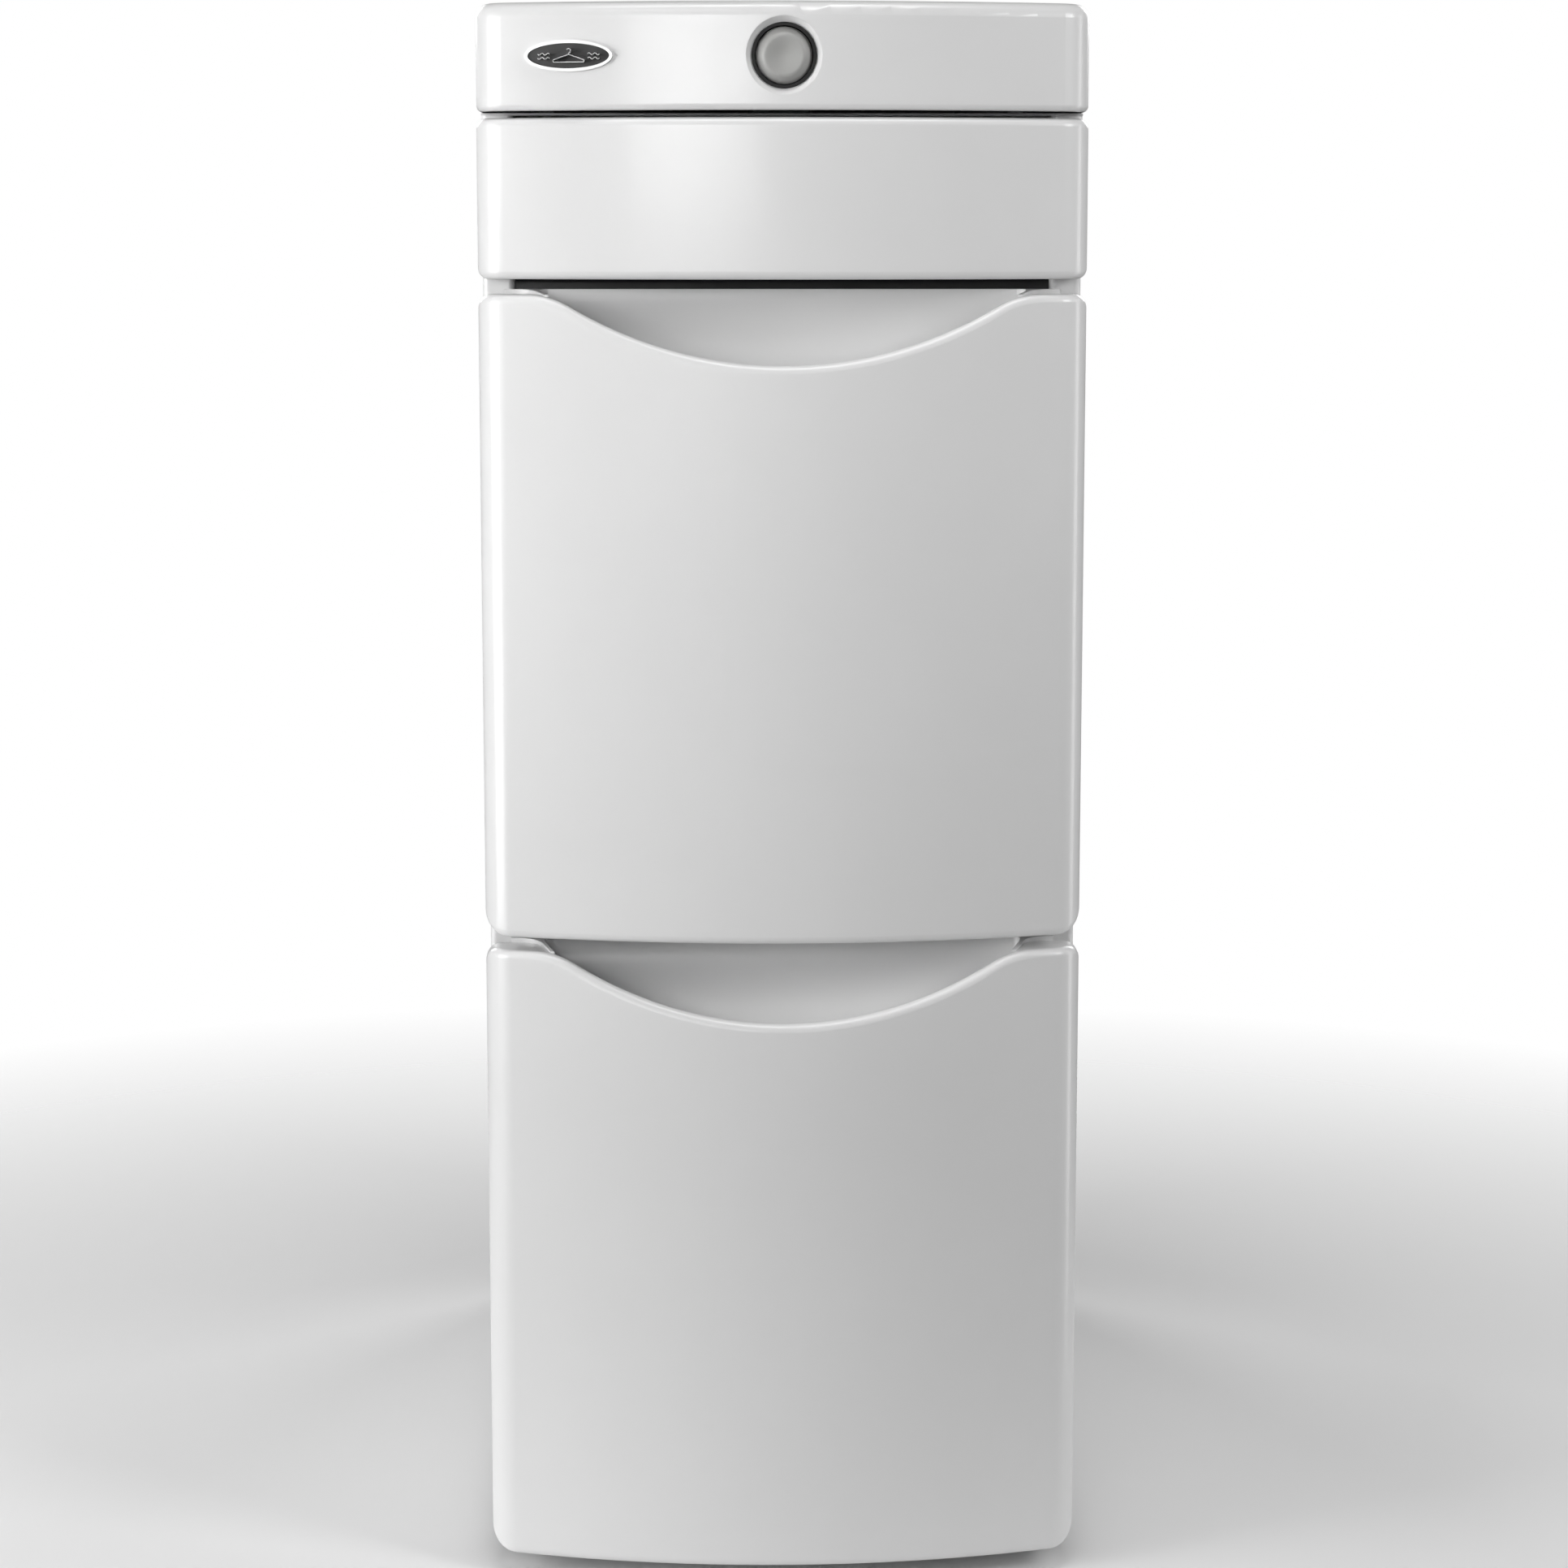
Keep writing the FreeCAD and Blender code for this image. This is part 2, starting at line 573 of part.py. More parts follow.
def bowl_web(name, rim):
    """The web at the right-hand end of a bowl, down from the rim."""
    start, end = root_outline("0")
    outline = [start, end, (end[0], PANEL_BACK), (start[0], PANEL_BACK),
               (f"{start[0]} - dims.bowl_web_bite", start[1])]
    return prism(name, "XY_Plane", outline, f"{rim} - dims.bowl_root_height", rim)


def scoop_bowl(name, low, high):
    """The concave finger bowl, trimmed to fit inside its front."""
    rim = f"({high} + dims.rim_rise)"
    gap = "dims.moulding_clearance"
    wall = cut(f"{name}_wall", bowl_solid(f"{name}_outside", rim, "dims.bowl_wall"),
               bowl_solid(f"{name}_inside", rim, "0"))
    under_lip = front_outline(low, high, "dims.bin_low_round", "dims.bin_high_round", True,
                              f"(dims.skin + {gap})")
    under = common(f"{name}_under",
                   prism(f"{name}_under_plan", "XY_Plane",
                         bowed_outline(f"(dims.skin + {gap})", PANEL_BACK), low, high),
                   prism(f"{name}_under_view", "XZ_Plane", under_lip,
                         f"{FRONT} - dims.front_depth", PANEL_BACK))
    behind = prism(f"{name}_behind", "XY_Plane",
                   bowed_outline(f"(dims.lip_depth + {gap})", PANEL_BACK), low, rim)
    room = fuse(f"{name}_room", under, behind)
    ahead = "(dims.front_depth * 2)"
    fall = f"({ahead} * dims.rim_fall / (dims.front_depth - dims.lip_depth))"
    above = prism(f"{name}_above", "YZ_Plane",
                  [(PANEL_FRONT, rim), (f"{PANEL_FRONT} - {ahead}", rim),
                   (f"{PANEL_FRONT} - {ahead}", f"{rim} - {fall}")],
                  f"-{HALF_FRONT}", HALF_FRONT)
    web = bowl_web(f"{name}_web", rim)
    webbed = fuse(f"{name}_webbed", wall, web, mirrored_copy(f"{name}_web_left", web))
    solid = common(f"{name}_fitted", webbed, room)
    return cut(name, solid, above)


def scooped_shell(name, shell, low, high):
    """The shell of a front without what it loses behind its lip to make way for the bowl."""
    rim = f"({high} + dims.rim_rise)"
    above = f"({rim} + dims.overcut)"
    grow = "dims.moulding_clearance"
    start, end = root_outline(grow)
    axis_half = f"({BOWL_AXIS_HALF} + (dims.bowl_wall + {grow}) / cos({BOWL_TILT}))"
    plan = mirrored([(axis_half, f"{FRONT} - dims.bowl_lead"), start, end, (end[0], PANEL_BACK)])
    straight = prism(f"{name}_straight_way", "XY_Plane", plan,
                     f"{high} - dims.scoop_drop - dims.front_edge_round", above)
    turned = bowl_solid(f"{name}_turned_way", rim, f"(dims.bowl_wall + {grow})")
    for label, way in (("straight", straight), ("turned", turned)):
        behind_lip = prism(f"{name}_{label}_limit", "XY_Plane",
                           bowed_outline("dims.lip_depth", PANEL_BACK), low, above)
        shell = cut(f"{name}_{label}", shell, common(f"{name}_{label}_cut", way, behind_lip))
    return shell


# ---- slides ------------------------------------------------------------------------------------

SLIDE_FRONT = f"({CABINET_FRONT} + dims.slide_setback)"
SLIDE_BACK = f"({BOX_BACK} - dims.slide_rear_gap)"


def slide_member(name, level, inner, outer, half):
    """A rolled channel of a slide, from its web at one distance from the wall to its lips."""
    web = f"({SLIDE_WALL} - {inner})"
    lips = f"({SLIDE_WALL} - {outer})"
    low, high = f"({level} - {half})", f"({level} + {half})"
    if num(inner) < num(outer):
        path = [(lips, low), (web, low), (web, high), (lips, high)]
    else:
        path = [(lips, high), (web, high), (web, low), (lips, low)]
    return folded(name, "XZ_Plane", path, "dims.slide_gauge", "dims.slide_bend",
                  SLIDE_FRONT, SLIDE_BACK)


def slide_pair(name, level):
    """Both slides of a drawer, each a fixed, a middle and an inner member."""
    middle_half = "(dims.slide_fixed_half - dims.slide_step)"
    inner_half = "(dims.slide_fixed_half - 2 * dims.slide_step)"
    lip_end = "(dims.slide_thickness - dims.slide_lip_gap)"
    members = (
        ("fixed", "0", lip_end, "dims.slide_fixed_half"),
        ("middle", "dims.slide_middle_back", lip_end, middle_half),
        ("inner", "dims.slide_thickness", "dims.slide_inner_lip", inner_half),
    )
    for member, inner, outer, half in members:
        full_name = f"{name}_{member}_rail"
        both_sides(full_name, slide_member(f"{full_name}_right", level, inner, outer, half))


# ---- bins and drawer -----------------------------------------------------------------------------

def bin_box(name, low, high):
    """The bent steel wrap and the back plate of a bin."""
    hem = "dims.box_hem"
    wrap_path = [
        (f"-{HALF_BOX} + {hem}", high), (f"-{HALF_BOX}", high), (f"-{HALF_BOX}", low),
        (HALF_BOX, low), (HALF_BOX, high), (f"{HALF_BOX} - {hem}", high),
    ]
    node(f"{name}_wrap", folded(f"{name}_wrap", "XZ_Plane", wrap_path, "dims.box_gauge",
                                "dims.box_bend", PANEL_BACK, BOX_BACK))
    inside = f"({HALF_BOX} - dims.box_gauge)"
    flange_end = f"({BOX_BACK} - dims.box_back_flange)"
    back_path = [(inside, flange_end), (inside, BOX_BACK), (f"-{inside}", BOX_BACK),
                 (f"-{inside}", flange_end)]
    node(f"{name}_back", folded(f"{name}_back", "XY_Plane", back_path, "dims.box_gauge",
                                "dims.box_bend", f"{low} + dims.box_gauge + dims.box_bend",
                                f"{high} - dims.box_gauge - dims.box_bend"))


def bin_unit(name, low, high, box_lift):
    """A deep pull-out bin: bowed front, inner panel with its scoop bowl, box and slides."""
    rim = f"({high} + dims.rim_rise)"
    centres = boss_centres(f"{low} + dims.front_boss_low", f"{high} - dims.front_boss_high")
    outer, shell = hollow_front(f"{name}_front", low, high, "dims.bin_low_round",
                                "dims.bin_high_round", True)
    opened = scooped_shell(f"{name}_front", shell, low, high)
    bosses = front_bosses(f"{name}_front", outer, centres)
    node(f"{name}_front", finished_front(f"{name}_front", outer, opened, bosses, centres))

    plate = block(f"{name}_inner_plate", (f"-{HALF_PANEL}", HALF_PANEL),
                  (PANEL_FRONT, PANEL_BACK), (low, rim))
    moulded = fuse(f"{name}_inner_moulded", plate, scoop_bowl(f"{name}_bowl", low, high))
    node(f"{name}_inner_panel", drilled(f"{name}_inner_panel", moulded, "y", centres, SCREW_HOLE,
                                        f"{PANEL_FRONT} - dims.overcut", f"{PANEL_BACK} + dims.overcut"))
    node(f"{name}_screws", front_screws(f"{name}_screws", centres, PANEL_BACK))

    box_low = f"({low} + {box_lift})"
    bin_box(name, box_low, f"({high} - dims.box_drop)")
    slide_pair(name, f"({box_low} + dims.bin_slide_lift)")


def drawer_unit():
    """The shallow drawer: plain bowed front, inner panel, moulded tray and slides."""
    centres = boss_centres(f"{DRAWER_LOW} + dims.drawer_boss_low",
                           f"{DRAWER_HIGH} - dims.drawer_boss_high")
    outer, shell = hollow_front("drawer_front", DRAWER_LOW, DRAWER_HIGH, "dims.drawer_round",
                                "dims.drawer_round", False)
    bosses = front_bosses("drawer_front", outer, centres)
    node("drawer_front", finished_front("drawer_front", outer, shell, bosses, centres))

    plate = block("drawer_inner_plate", (f"-{HALF_PANEL}", HALF_PANEL),
                  (PANEL_FRONT, PANEL_BACK), (DRAWER_LOW, DRAWER_HIGH))
    node("drawer_inner_panel", drilled("drawer_inner_panel", plate, "y", centres, SCREW_HOLE,
                                       f"{PANEL_FRONT} - dims.overcut", f"{PANEL_BACK} + dims.overcut"))
    tray_low = f"({DRAWER_LOW} + dims.tray_lift)"
    tray_high = f"({DRAWER_HIGH} - dims.tray_drop)"
    wall = "dims.tray_wall"
    blank = block("drawer_tray_blank", (f"-{HALF_BOX}", HALF_BOX), (PANEL_BACK, BOX_BACK),
                  (tray_low, tray_high))
    room = block("drawer_tray_room", (f"-{HALF_BOX} + {wall}", f"{HALF_BOX} - {wall}"),
                 (f"{PANEL_BACK} + {wall}", f"{BOX_BACK} - {wall}"),
                 (f"{tray_low} + {wall}", f"{tray_high} + dims.overcut"))
    node("drawer_tray", drilled("drawer_tray", cut("drawer_tray_open", blank, room), "y", centres,
                                SCREW_HOLE, f"{PANEL_BACK} - dims.overcut",
                                f"{PANEL_BACK} + {wall} + dims.overcut"))
    node("drawer_screws", front_screws("drawer_screws", centres, f"({PANEL_BACK} + {wall})"))
    slide_pair("drawer", f"({tray_low} + dims.drawer_slide_lift)")


# ---- cabinet -------------------------------------------------------------------------------------

def rear_screw_places():
    """Where screws hold the back panel to the side panels' rear flanges."""
    side = f"({HALF_CABINET} - dims.rear_flange / 2)"
    low = "(dims.side_low + dims.back_screw_margin)"
    high = f"({SIDE_TOP} - dims.back_screw_margin)"
    last = BACK_SCREW_ROWS - 1
    levels = [f"({low} + ({high} - {low}) * {step} / {last})" for step in range(BACK_SCREW_ROWS)]
    return [(x, z) for z in levels for x in (f"-{side}", side)]


def cabinet_shell():
    side_path = [
        (SLIDE_WALL, LIP_BACK), (SLIDE_WALL, CABINET_FRONT), (HALF_CABINET, CABINET_FRONT),
        (HALF_CABINET, SIDE_REAR), (f"({HALF_CABINET} - dims.rear_flange)", SIDE_REAR),
    ]
    places = rear_screw_places()
    folded_side = folded("side_panel_folded", "XY_Plane", side_path, "dims.sheet_gauge",
                         "dims.sheet_bend", "dims.side_low", SIDE_TOP)
    both_sides("side_panel", drilled("side_panel_right", folded_side, "y", places[1::2],
                                     SCREW_HOLE,
                                     f"{SIDE_REAR} - dims.sheet_gauge - dims.overcut",
                                     f"{SIDE_REAR} + dims.overcut"))

    half_back = f"({HALF_CABINET} - dims.back_panel_inset)"
    plate = block("back_plate", (f"-{half_back}", half_back), (SIDE_REAR, BACK_FACE),
                  ("dims.back_panel_low", f"{SIDE_TOP} - dims.back_panel_drop"))
    through = (f"{SIDE_REAR} - dims.overcut", f"{BACK_FACE} + dims.overcut")
    screwed = drilled("back_plate_screwed", plate, "y", places, SCREW_HOLE, *through)
    strap_level = f"({SIDE_TOP} - dims.strap_hole_drop)"
    straps = [(x, strap_level) for x in ("-dims.strap_hole_spacing / 2",
                                         "dims.strap_hole_spacing / 2")]
    node("back_panel", drilled("back_panel", screwed, "y", straps, "dims.strap_hole_radius",
                               *through))
    node("back_panel_screws", group("back_panel_screws", [
        screw(f"back_screw_{index}", "y", (x, BACK_FACE, z), -1)
        for index, (x, z) in enumerate(places)]))


def foot_places():
    side = f"({HALF_CABINET} - dims.foot_margin)"
    return {
        "front_left": (f"-{side}", f"({FRONT} + dims.foot_front)"),
        "front_right": (side, f"({FRONT} + dims.foot_front)"),
        "rear_left": (f"-{side}", f"({REAR} - dims.foot_rear)"),
        "rear_right": (side, f"({REAR} - dims.foot_rear)"),
    }


def base():
    """The base pan and the nuts that its levelling feet screw through."""
    high = "(dims.base_pan_low + dims.base_pan_flange)"
    path = [(f"-{HALF_INSIDE}", high), (f"-{HALF_INSIDE}", "dims.base_pan_low"),
            (HALF_INSIDE, "dims.base_pan_low"), (HALF_INSIDE, high)]
    pan = folded("base_pan_folded", "XZ_Plane", path, "dims.sheet_gauge", "dims.sheet_bend",
                 f"({LIP_BACK} + dims.moulding_clearance)",
                 f"({SIDE_REAR} - dims.sheet_gauge - dims.sheet_bend)")
    thread = "(dims.foot_stud_radius + dims.foot_thread_clearance)"
    centres = list(foot_places().values())
    node("base_pan", drilled("base_pan", pan, "z", centres, thread,
                             "dims.base_pan_low - dims.overcut", f"{PAN_TOP} + dims.overcut"))
    nuts = []
    for index, (x, y) in enumerate(centres):
        blank = cylinder(f"foot_nut_blank_{index}", "z", (x, y, PAN_TOP), "dims.foot_nut_height",
                         "dims.foot_nut_radius")
        nuts.append(drilled(f"foot_nut_{index}", blank, "z", [(x, y)], thread,
                            f"{PAN_TOP} - dims.overcut",
                            f"{PAN_TOP} + dims.foot_nut_height + dims.overcut"))
    node("foot_nuts", group("foot_nuts", nuts))


def levelling_feet():
    """Four rubber-padded feet, each on a threaded stud."""
    high, wide, soft = "dims.foot_pad_height", "dims.foot_pad_radius", "dims.foot_pad_round"
    stud = "dims.foot_stud_radius"
    for place, (x, y) in foot_places().items():
        name = f"levelling_foot_{place}"
        # the sketch's horizontal axis is the foot's own axis, laid along Z afterwards
        profile = [("0", "0"), ("0", wide), (f"{high} - {soft}", wide, soft, -1),
                   (high, f"{wide} - {soft}"), (high, stud),
                   ("dims.foot_stud_top", stud), ("dims.foot_stud_top", "0")]
        foot = revolved(name, "XZ_Plane", profile, {})
        foot.Placement = FreeCAD.Placement(FreeCAD.Vector(), FreeCAD.Rotation(
            FreeCAD.Vector(0, 1, 0), -90))
        foot.setExpression("Placement.Base.x", x)
        foot.setExpression("Placement.Base.y", y)
        node(name, foot)


def rails_and_uprights():
    """The two front rails between the compartments and the rear uprights that hold the slides."""
    clear = "dims.front_rail_clearance"
    low_of_upper_box = f"({UPPER_LOW} + dims.upper_box_lift)"
    spans = {
        "front_rail_upper": (f"({UPPER_HIGH} - dims.box_drop)", f"({DRAWER_LOW} + dims.tray_lift)"),
        "front_rail_lower": (f"({LOWER_HIGH} - dims.box_drop)", low_of_upper_box),
    }
    start = f"({CABINET_FRONT} + dims.front_rail_setback)"
    end = f"({start} + dims.front_rail_depth)"
    for name, (below, above) in spans.items():
        low, high = f"({below} + 2 * {clear})", f"({above} - {clear})"
        path = [(end, high), (start, high), (start, low), (end, low)]
        node(name, folded(name, "YZ_Plane", path, "dims.sheet_gauge", "dims.sheet_bend",
                          f"-{SLIDE_WALL}", SLIDE_WALL))

    back = f"({SLIDE_BACK} - dims.upright_setback)"
    front = f"({back} - dims.upright_depth)"
    path = [(HALF_INSIDE, back), (SLIDE_WALL, back), (SLIDE_WALL, front), (HALF_INSIDE, front)]
    both_sides("rear_upright", folded("rear_upright_right", "XY_Plane", path, "dims.sheet_gauge",
                                      "dims.sheet_bend",
                                      "(dims.base_pan_low + dims.base_pan_flange)",
                                      f"({SIDE_TOP} - dims.upright_headroom)"))


def cap_post_places():
    side = f"({HALF_CABINET} - dims.cap_post_margin)"
    rows = (f"({FRONT} + dims.cap_post_front)", f"({REAR} - dims.cap_post_rear)")
    return [(x, y) for y in rows for x in (f"-{side}", side)]


def deck():
    """The top deck with its stiffener, and the screws that hold the cap on it."""
    plate = block("deck_plate", (f"-{HALF_CABINET}", HALF_CABINET), (CABINET_FRONT, SIDE_REAR),
                  (SIDE_TOP, CAP_LOW))
    front = f"({CABINET_FRONT} + dims.deck_stiffener_setback)"
    low = f"({SIDE_TOP} - dims.deck_stiffener_height)"
    path = [(f"{front} + dims.deck_stiffener_foot", SIDE_TOP), (front, SIDE_TOP), (front, low),
            (f"{front} + dims.deck_stiffener_foot", low)]
    rib = folded("deck_stiffener", "YZ_Plane", path, "dims.sheet_gauge", "dims.sheet_bend",
                 f"-{SLIDE_WALL}", SLIDE_WALL)
    places = cap_post_places()
    node("top_deck", drilled("top_deck", fuse("deck_welded", plate, rib), "z", places, SCREW_HOLE,
                             f"{SIDE_TOP} - dims.overcut", f"{CAP_LOW} + dims.overcut"))
    node("cap_screws", group("cap_screws", [
        screw(f"cap_screw_{index}", "z", (x, y, SIDE_TOP), 1)
        for index, (x, y) in enumerate(places)]))


def bumpers():
    """Soft discs on the cabinet's front flanges, behind each inner panel's corners."""
    side = f"(({HALF_PANEL} + {SLIDE_WALL}) / 2)"
    discs = []
    for low, high in ((LOWER_LOW, LOWER_HIGH), (UPPER_LOW, UPPER_HIGH), (DRAWER_LOW, DRAWER_HIGH)):
        for level in (f"{low} + dims.bumper_margin", f"{high} - dims.bumper_margin"):
            for x in (f"-{side}", side):
                discs.append(cylinder(f"bumper_{len(discs)}", "y",
                                      (x, f"{CABINET_FRONT} - dims.bumper_height", level),
                                      "dims.bumper_height", "dims.bumper_radius"))
    node("bumpers", group("bumpers", discs))


# ---- cap, knob and hanging rod -------------------------------------------------------------------

def at_level(expression):
    """Edge test: the whole edge lies at one height."""
    level = num(expression)

    def chosen(edge):
        box = edge.BoundBox
        return max(abs(box.ZMin - level), abs(box.ZMax - level)) < 1000 * TINY
    return chosen


def cap():
    """The moulded cap: bowed front, rounded edges, a knob recess and posts for its screws."""
    rear, wall = "dims.cap_rear_round", "dims.cap_wall"
    outer = prism("cap_outer", "XY_Plane", bowed_outline("0", REAR, rear), CAP_LOW, CAP_HIGH)
    round_edges(outer, "top", "dims.cap_top_round", at_level(CAP_HIGH))
    round_edges(outer, "low", "dims.cap_low_round", at_level(CAP_LOW))
    ceiling = f"({CAP_HIGH} - {wall})"
    inner = prism("cap_inner", "XY_Plane",
                  bowed_outline(wall, f"({REAR} - {wall})", f"({rear} - {wall})"),
                  f"({CAP_LOW} - dims.overcut)", ceiling)
    round_edges(inner, "top", f"(dims.cap_top_round - {wall})", at_level(ceiling))
    shell = cut("cap_shell", outer, inner)
    boss = common("cap_knob_boss", outer,
                  cylinder("cap_knob_post", "y", ("0", FRONT, ROD_LEVEL), "dims.knob_boss_depth",
                           f"{RING_FLANGE_RADIUS} + dims.knob_boss_width"))
    post_height = f"{ceiling} - {CAP_LOW} + dims.cap_post_bite"
    posts = [cylinder(f"cap_post_{index}", "z", (x, y, CAP_LOW), post_height,
                      "dims.cap_post_radius") for index, (x, y) in enumerate(cap_post_places())]
    solid = fuse("cap_solid", shell, boss, *posts)
    recess = cone("cap_recess", "y", ("0", FRONT, ROD_LEVEL), "dims.recess_depth",
                  f"{RECESS_FLOOR_RADIUS} + dims.recess_slope_width", RECESS_FLOOR_RADIUS)
    way = cylinder("cap_knob_way", "y", ("0", f"{FRONT} - dims.overcut", ROD_LEVEL),
                   "dims.knob_boss_depth + 2 * dims.overcut", RING_RADIUS)
    recessed = cut("cap_recessed", solid, fuse("cap_knob_opening", recess, way))
    node("top_cap", drilled("top_cap", recessed, "z", cap_post_places(), SCREW_HOLE,
                            f"{CAP_LOW} - dims.overcut",
                            f"{CAP_LOW} + dims.screw_length + dims.boss_hole_spare"))


def turned(name, profile, start):
    """A piece turned about the rod's axis; the profile is (distance behind start, radius)."""
    return revolved(name, "YZ_Plane", profile, {"x": start, "y": ROD_LEVEL})


def tube(name, start, length, bore, radius):
    return turned(name, [("0", bore), (length, bore), (length, radius), ("0", radius)], start)


def knob_and_rod():
    """The garment rod, the tubes that it slides in, its knob and the ring round the knob."""
    front = f"({FRONT} + dims.knob_setback)"
    length, chamfer = "dims.knob_length", "dims.knob_chamfer_depth"
    wide, ridge, round_off = "dims.knob_radius", "dims.knob_ridge_radius", "dims.knob_edge_round"
    dish = "dims.knob_dish_depth"
    dish_radius = f"(({ridge}^2 + {dish}^2) / (2 * {dish}))"
    socket = f"({length} - dims.knob_socket_depth)"
    profile = [
        (dish, "0", dish_radius, 1), ("0", ridge), (chamfer, wide),
        (f"{length} - {round_off}", wide, round_off, -1), (length, f"{wide} - {round_off}"),
        (length, "dims.rod_radius"), (f"{length} - {socket}", "dims.rod_radius"),
        (f"{length} - {socket}", "0"),
    ]
    node("rod_knob", turned("rod_knob", profile, front))
    rod_start = f"({front} + {length} - {socket})"
    node("hanger_rod", tube("hanger_rod", rod_start, "dims.rod_length",
                            "dims.rod_radius - dims.rod_wall", "dims.rod_radius"))
    node("rod_middle_tube", tube("rod_middle_tube", f"({FRONT} + dims.rod_middle_setback)",
                                 "dims.rod_middle_length", ROD_MIDDLE_BORE, ROD_MIDDLE_RADIUS))
    node("rod_guide_tube", tube("rod_guide_tube", ROD_GUIDE_START, "dims.rod_guide_length",
                                ROD_GUIDE_BORE, ROD_GUIDE_RADIUS))
    ring_start = f"({FRONT} + dims.ring_setback)"
    flange_start = "(dims.knob_boss_depth - dims.ring_setback)"
    flange_end = f"({flange_start} + dims.ring_flange_gauge)"
    ring = [
        ("0", RING_BORE), ("dims.ring_length", RING_BORE), ("dims.ring_length", RING_RADIUS),
        (flange_end, RING_RADIUS), (flange_end, RING_FLANGE_RADIUS),
        (flange_start, RING_FLANGE_RADIUS), (flange_start, RING_RADIUS), ("0", RING_RADIUS),
    ]
    node("knob_ring", turned("knob_ring", ring, ring_start))


def rod_supports():
    """The two brackets that carry the guide tube, and the push latch behind it."""
    half, gauge, foot = "dims.rod_bracket_half", "dims.rod_bracket_gauge", "dims.rod_bracket_foot"
    top = f"({ROD_LEVEL} + {ROD_GUIDE_RADIUS} + dims.rod_bracket_head)"
    starts = {
        "rod_front_bracket": f"({ROD_GUIDE_START} + dims.rod_bracket_front)",
        "rod_rear_bracket": f"({ROD_GUIDE_END} - dims.rod_bracket_rear)",
    }
    for name, start in starts.items():
        path = [(f"{start} + {foot}", CAP_LOW), (start, CAP_LOW), (start, top)]
        plate = folded(f"{name}_plate", "YZ_Plane", path[::-1], gauge, "dims.sheet_bend",
                       f"-{half}", half)
        node(name, drilled(name, plate, "y", [("0", ROD_LEVEL)], ROD_GUIDE_RADIUS,
                           f"{start} - dims.overcut", f"{start} + {gauge} + dims.overcut"))
    half_latch = "dims.latch_half"
    case = block("latch_case", (f"-{half_latch}", half_latch),
                 (ROD_GUIDE_END, f"{ROD_GUIDE_END} + dims.latch_length"),
                 (CAP_LOW, f"{ROD_LEVEL} + {half_latch}"))
    rod_end = f"({FRONT} + dims.knob_setback + dims.knob_socket_depth + dims.rod_length)"
    tip = f"({rod_end} + dims.push_travel + dims.push_clearance)"
    plunger = cylinder("latch_plunger", "y", ("0", tip, ROD_LEVEL),
                       f"{ROD_GUIDE_END} - {tip} + dims.overcut", "dims.latch_plunger_radius")
    node("rod_push_latch", fuse("rod_push_latch", case, plunger))


# ---- badge ---------------------------------------------------------------------------------------

def ellipse_prism(name, half_width, half_height):
    """An upright oval, padded from in front of the cap to behind its skin."""
    body = new_body(name)
    sketch = body.newObject("Sketcher::SketchObject", f"{name}_outline")
    support = next(part for part in body.Origin.OriginFeatures if part.Role == "XZ_Plane")
    sketch.AttachmentSupport = [(support, "")]
    sketch.MapMode = "FlatFace"
    sketch.setExpression("AttachmentOffset.Base.y", ROD_LEVEL)
    sketch.setExpression("AttachmentOffset.Base.z", f"-({FRONT} + dims.badge_bezel_proud)")
    wide, high = num(half_width), num(half_height)
    oval = Part.Ellipse(FreeCAD.Vector(), wide, high)
    sketch.addGeometry(oval, False)
    sketch.exposeInternalGeometry(0)
    sketch.addConstraint(Sketcher.Constraint("Coincident", 0, 3, -1, 1))
    sketch.addConstraint(Sketcher.Constraint("Horizontal", 1))
    for line, length in ((1, half_width), (2, half_height)):
        held = sketch.addConstraint(Sketcher.Constraint("Distance", line, 1, line, 2,
                                                        2 * num(length)))
        sketch.setExpression(f"Constraints[{held}]", f"2 * {length}")
    pad = body.newObject("PartDesign::Pad", f"{name}_pad")
    pad.Profile = sketch
    pad.setExpression("Length", "2 * dims.badge_bezel_proud + dims.overcut")
    return body


def bow_layer(name, proud):
    """A layer on the bowed surface, standing proud of it, as tall as the cap."""
    outer = cylinder(f"{name}_outer", "z", ("0", BOW_CENTRE, CAP_LOW), "dims.cap_height",
                     f"{BOW_RADIUS} + {proud}")
    inner = cylinder(f"{name}_inner", "z", ("0", BOW_CENTRE, CAP_LOW), "dims.cap_height",
                     BOW_RADIUS)
    return cut(name, outer, inner)


def slid_round_bow(feature, side):
    """Turns a feature made at the middle of the bow so that it sits at side along it."""
    angle = f"asin(({side}) / {BOW_RADIUS})"
    feature.setExpression("Placement.Rotation.Angle", angle)
    feature.setExpression("Placement.Base.x", f"{BOW_CENTRE} * sin({angle})")
    feature.setExpression("Placement.Base.y", f"{BOW_CENTRE} * (1 - cos({angle}))")
    return feature


def badge():
    """An oval badge on the cap: a polished bezel round a dark plate."""
    wide, high, wall = ("dims.badge_half_width", "dims.badge_half_height",
                        "dims.badge_bezel_wall")
    outline = ellipse_prism("badge_outline", wide, high)
    field = ellipse_prism("badge_field", f"({wide} - {wall})", f"({high} - {wall})")
    bezel = common("badge_bezel", cut("badge_bezel_ring", outline, field),
                   bow_layer("badge_bezel_layer", "dims.badge_bezel_proud"))
    plate = common("badge_plate", field, bow_layer("badge_plate_layer", "dims.badge_plate_proud"))
    for name, feature in (("badge_bezel", bezel), ("badge_plate", plate)):
        node(name, slid_round_bow(feature, f"dims.badge_margin - {HALF_FRONT}"))


# ---- the whole tower -----------------------------------------------------------------------------

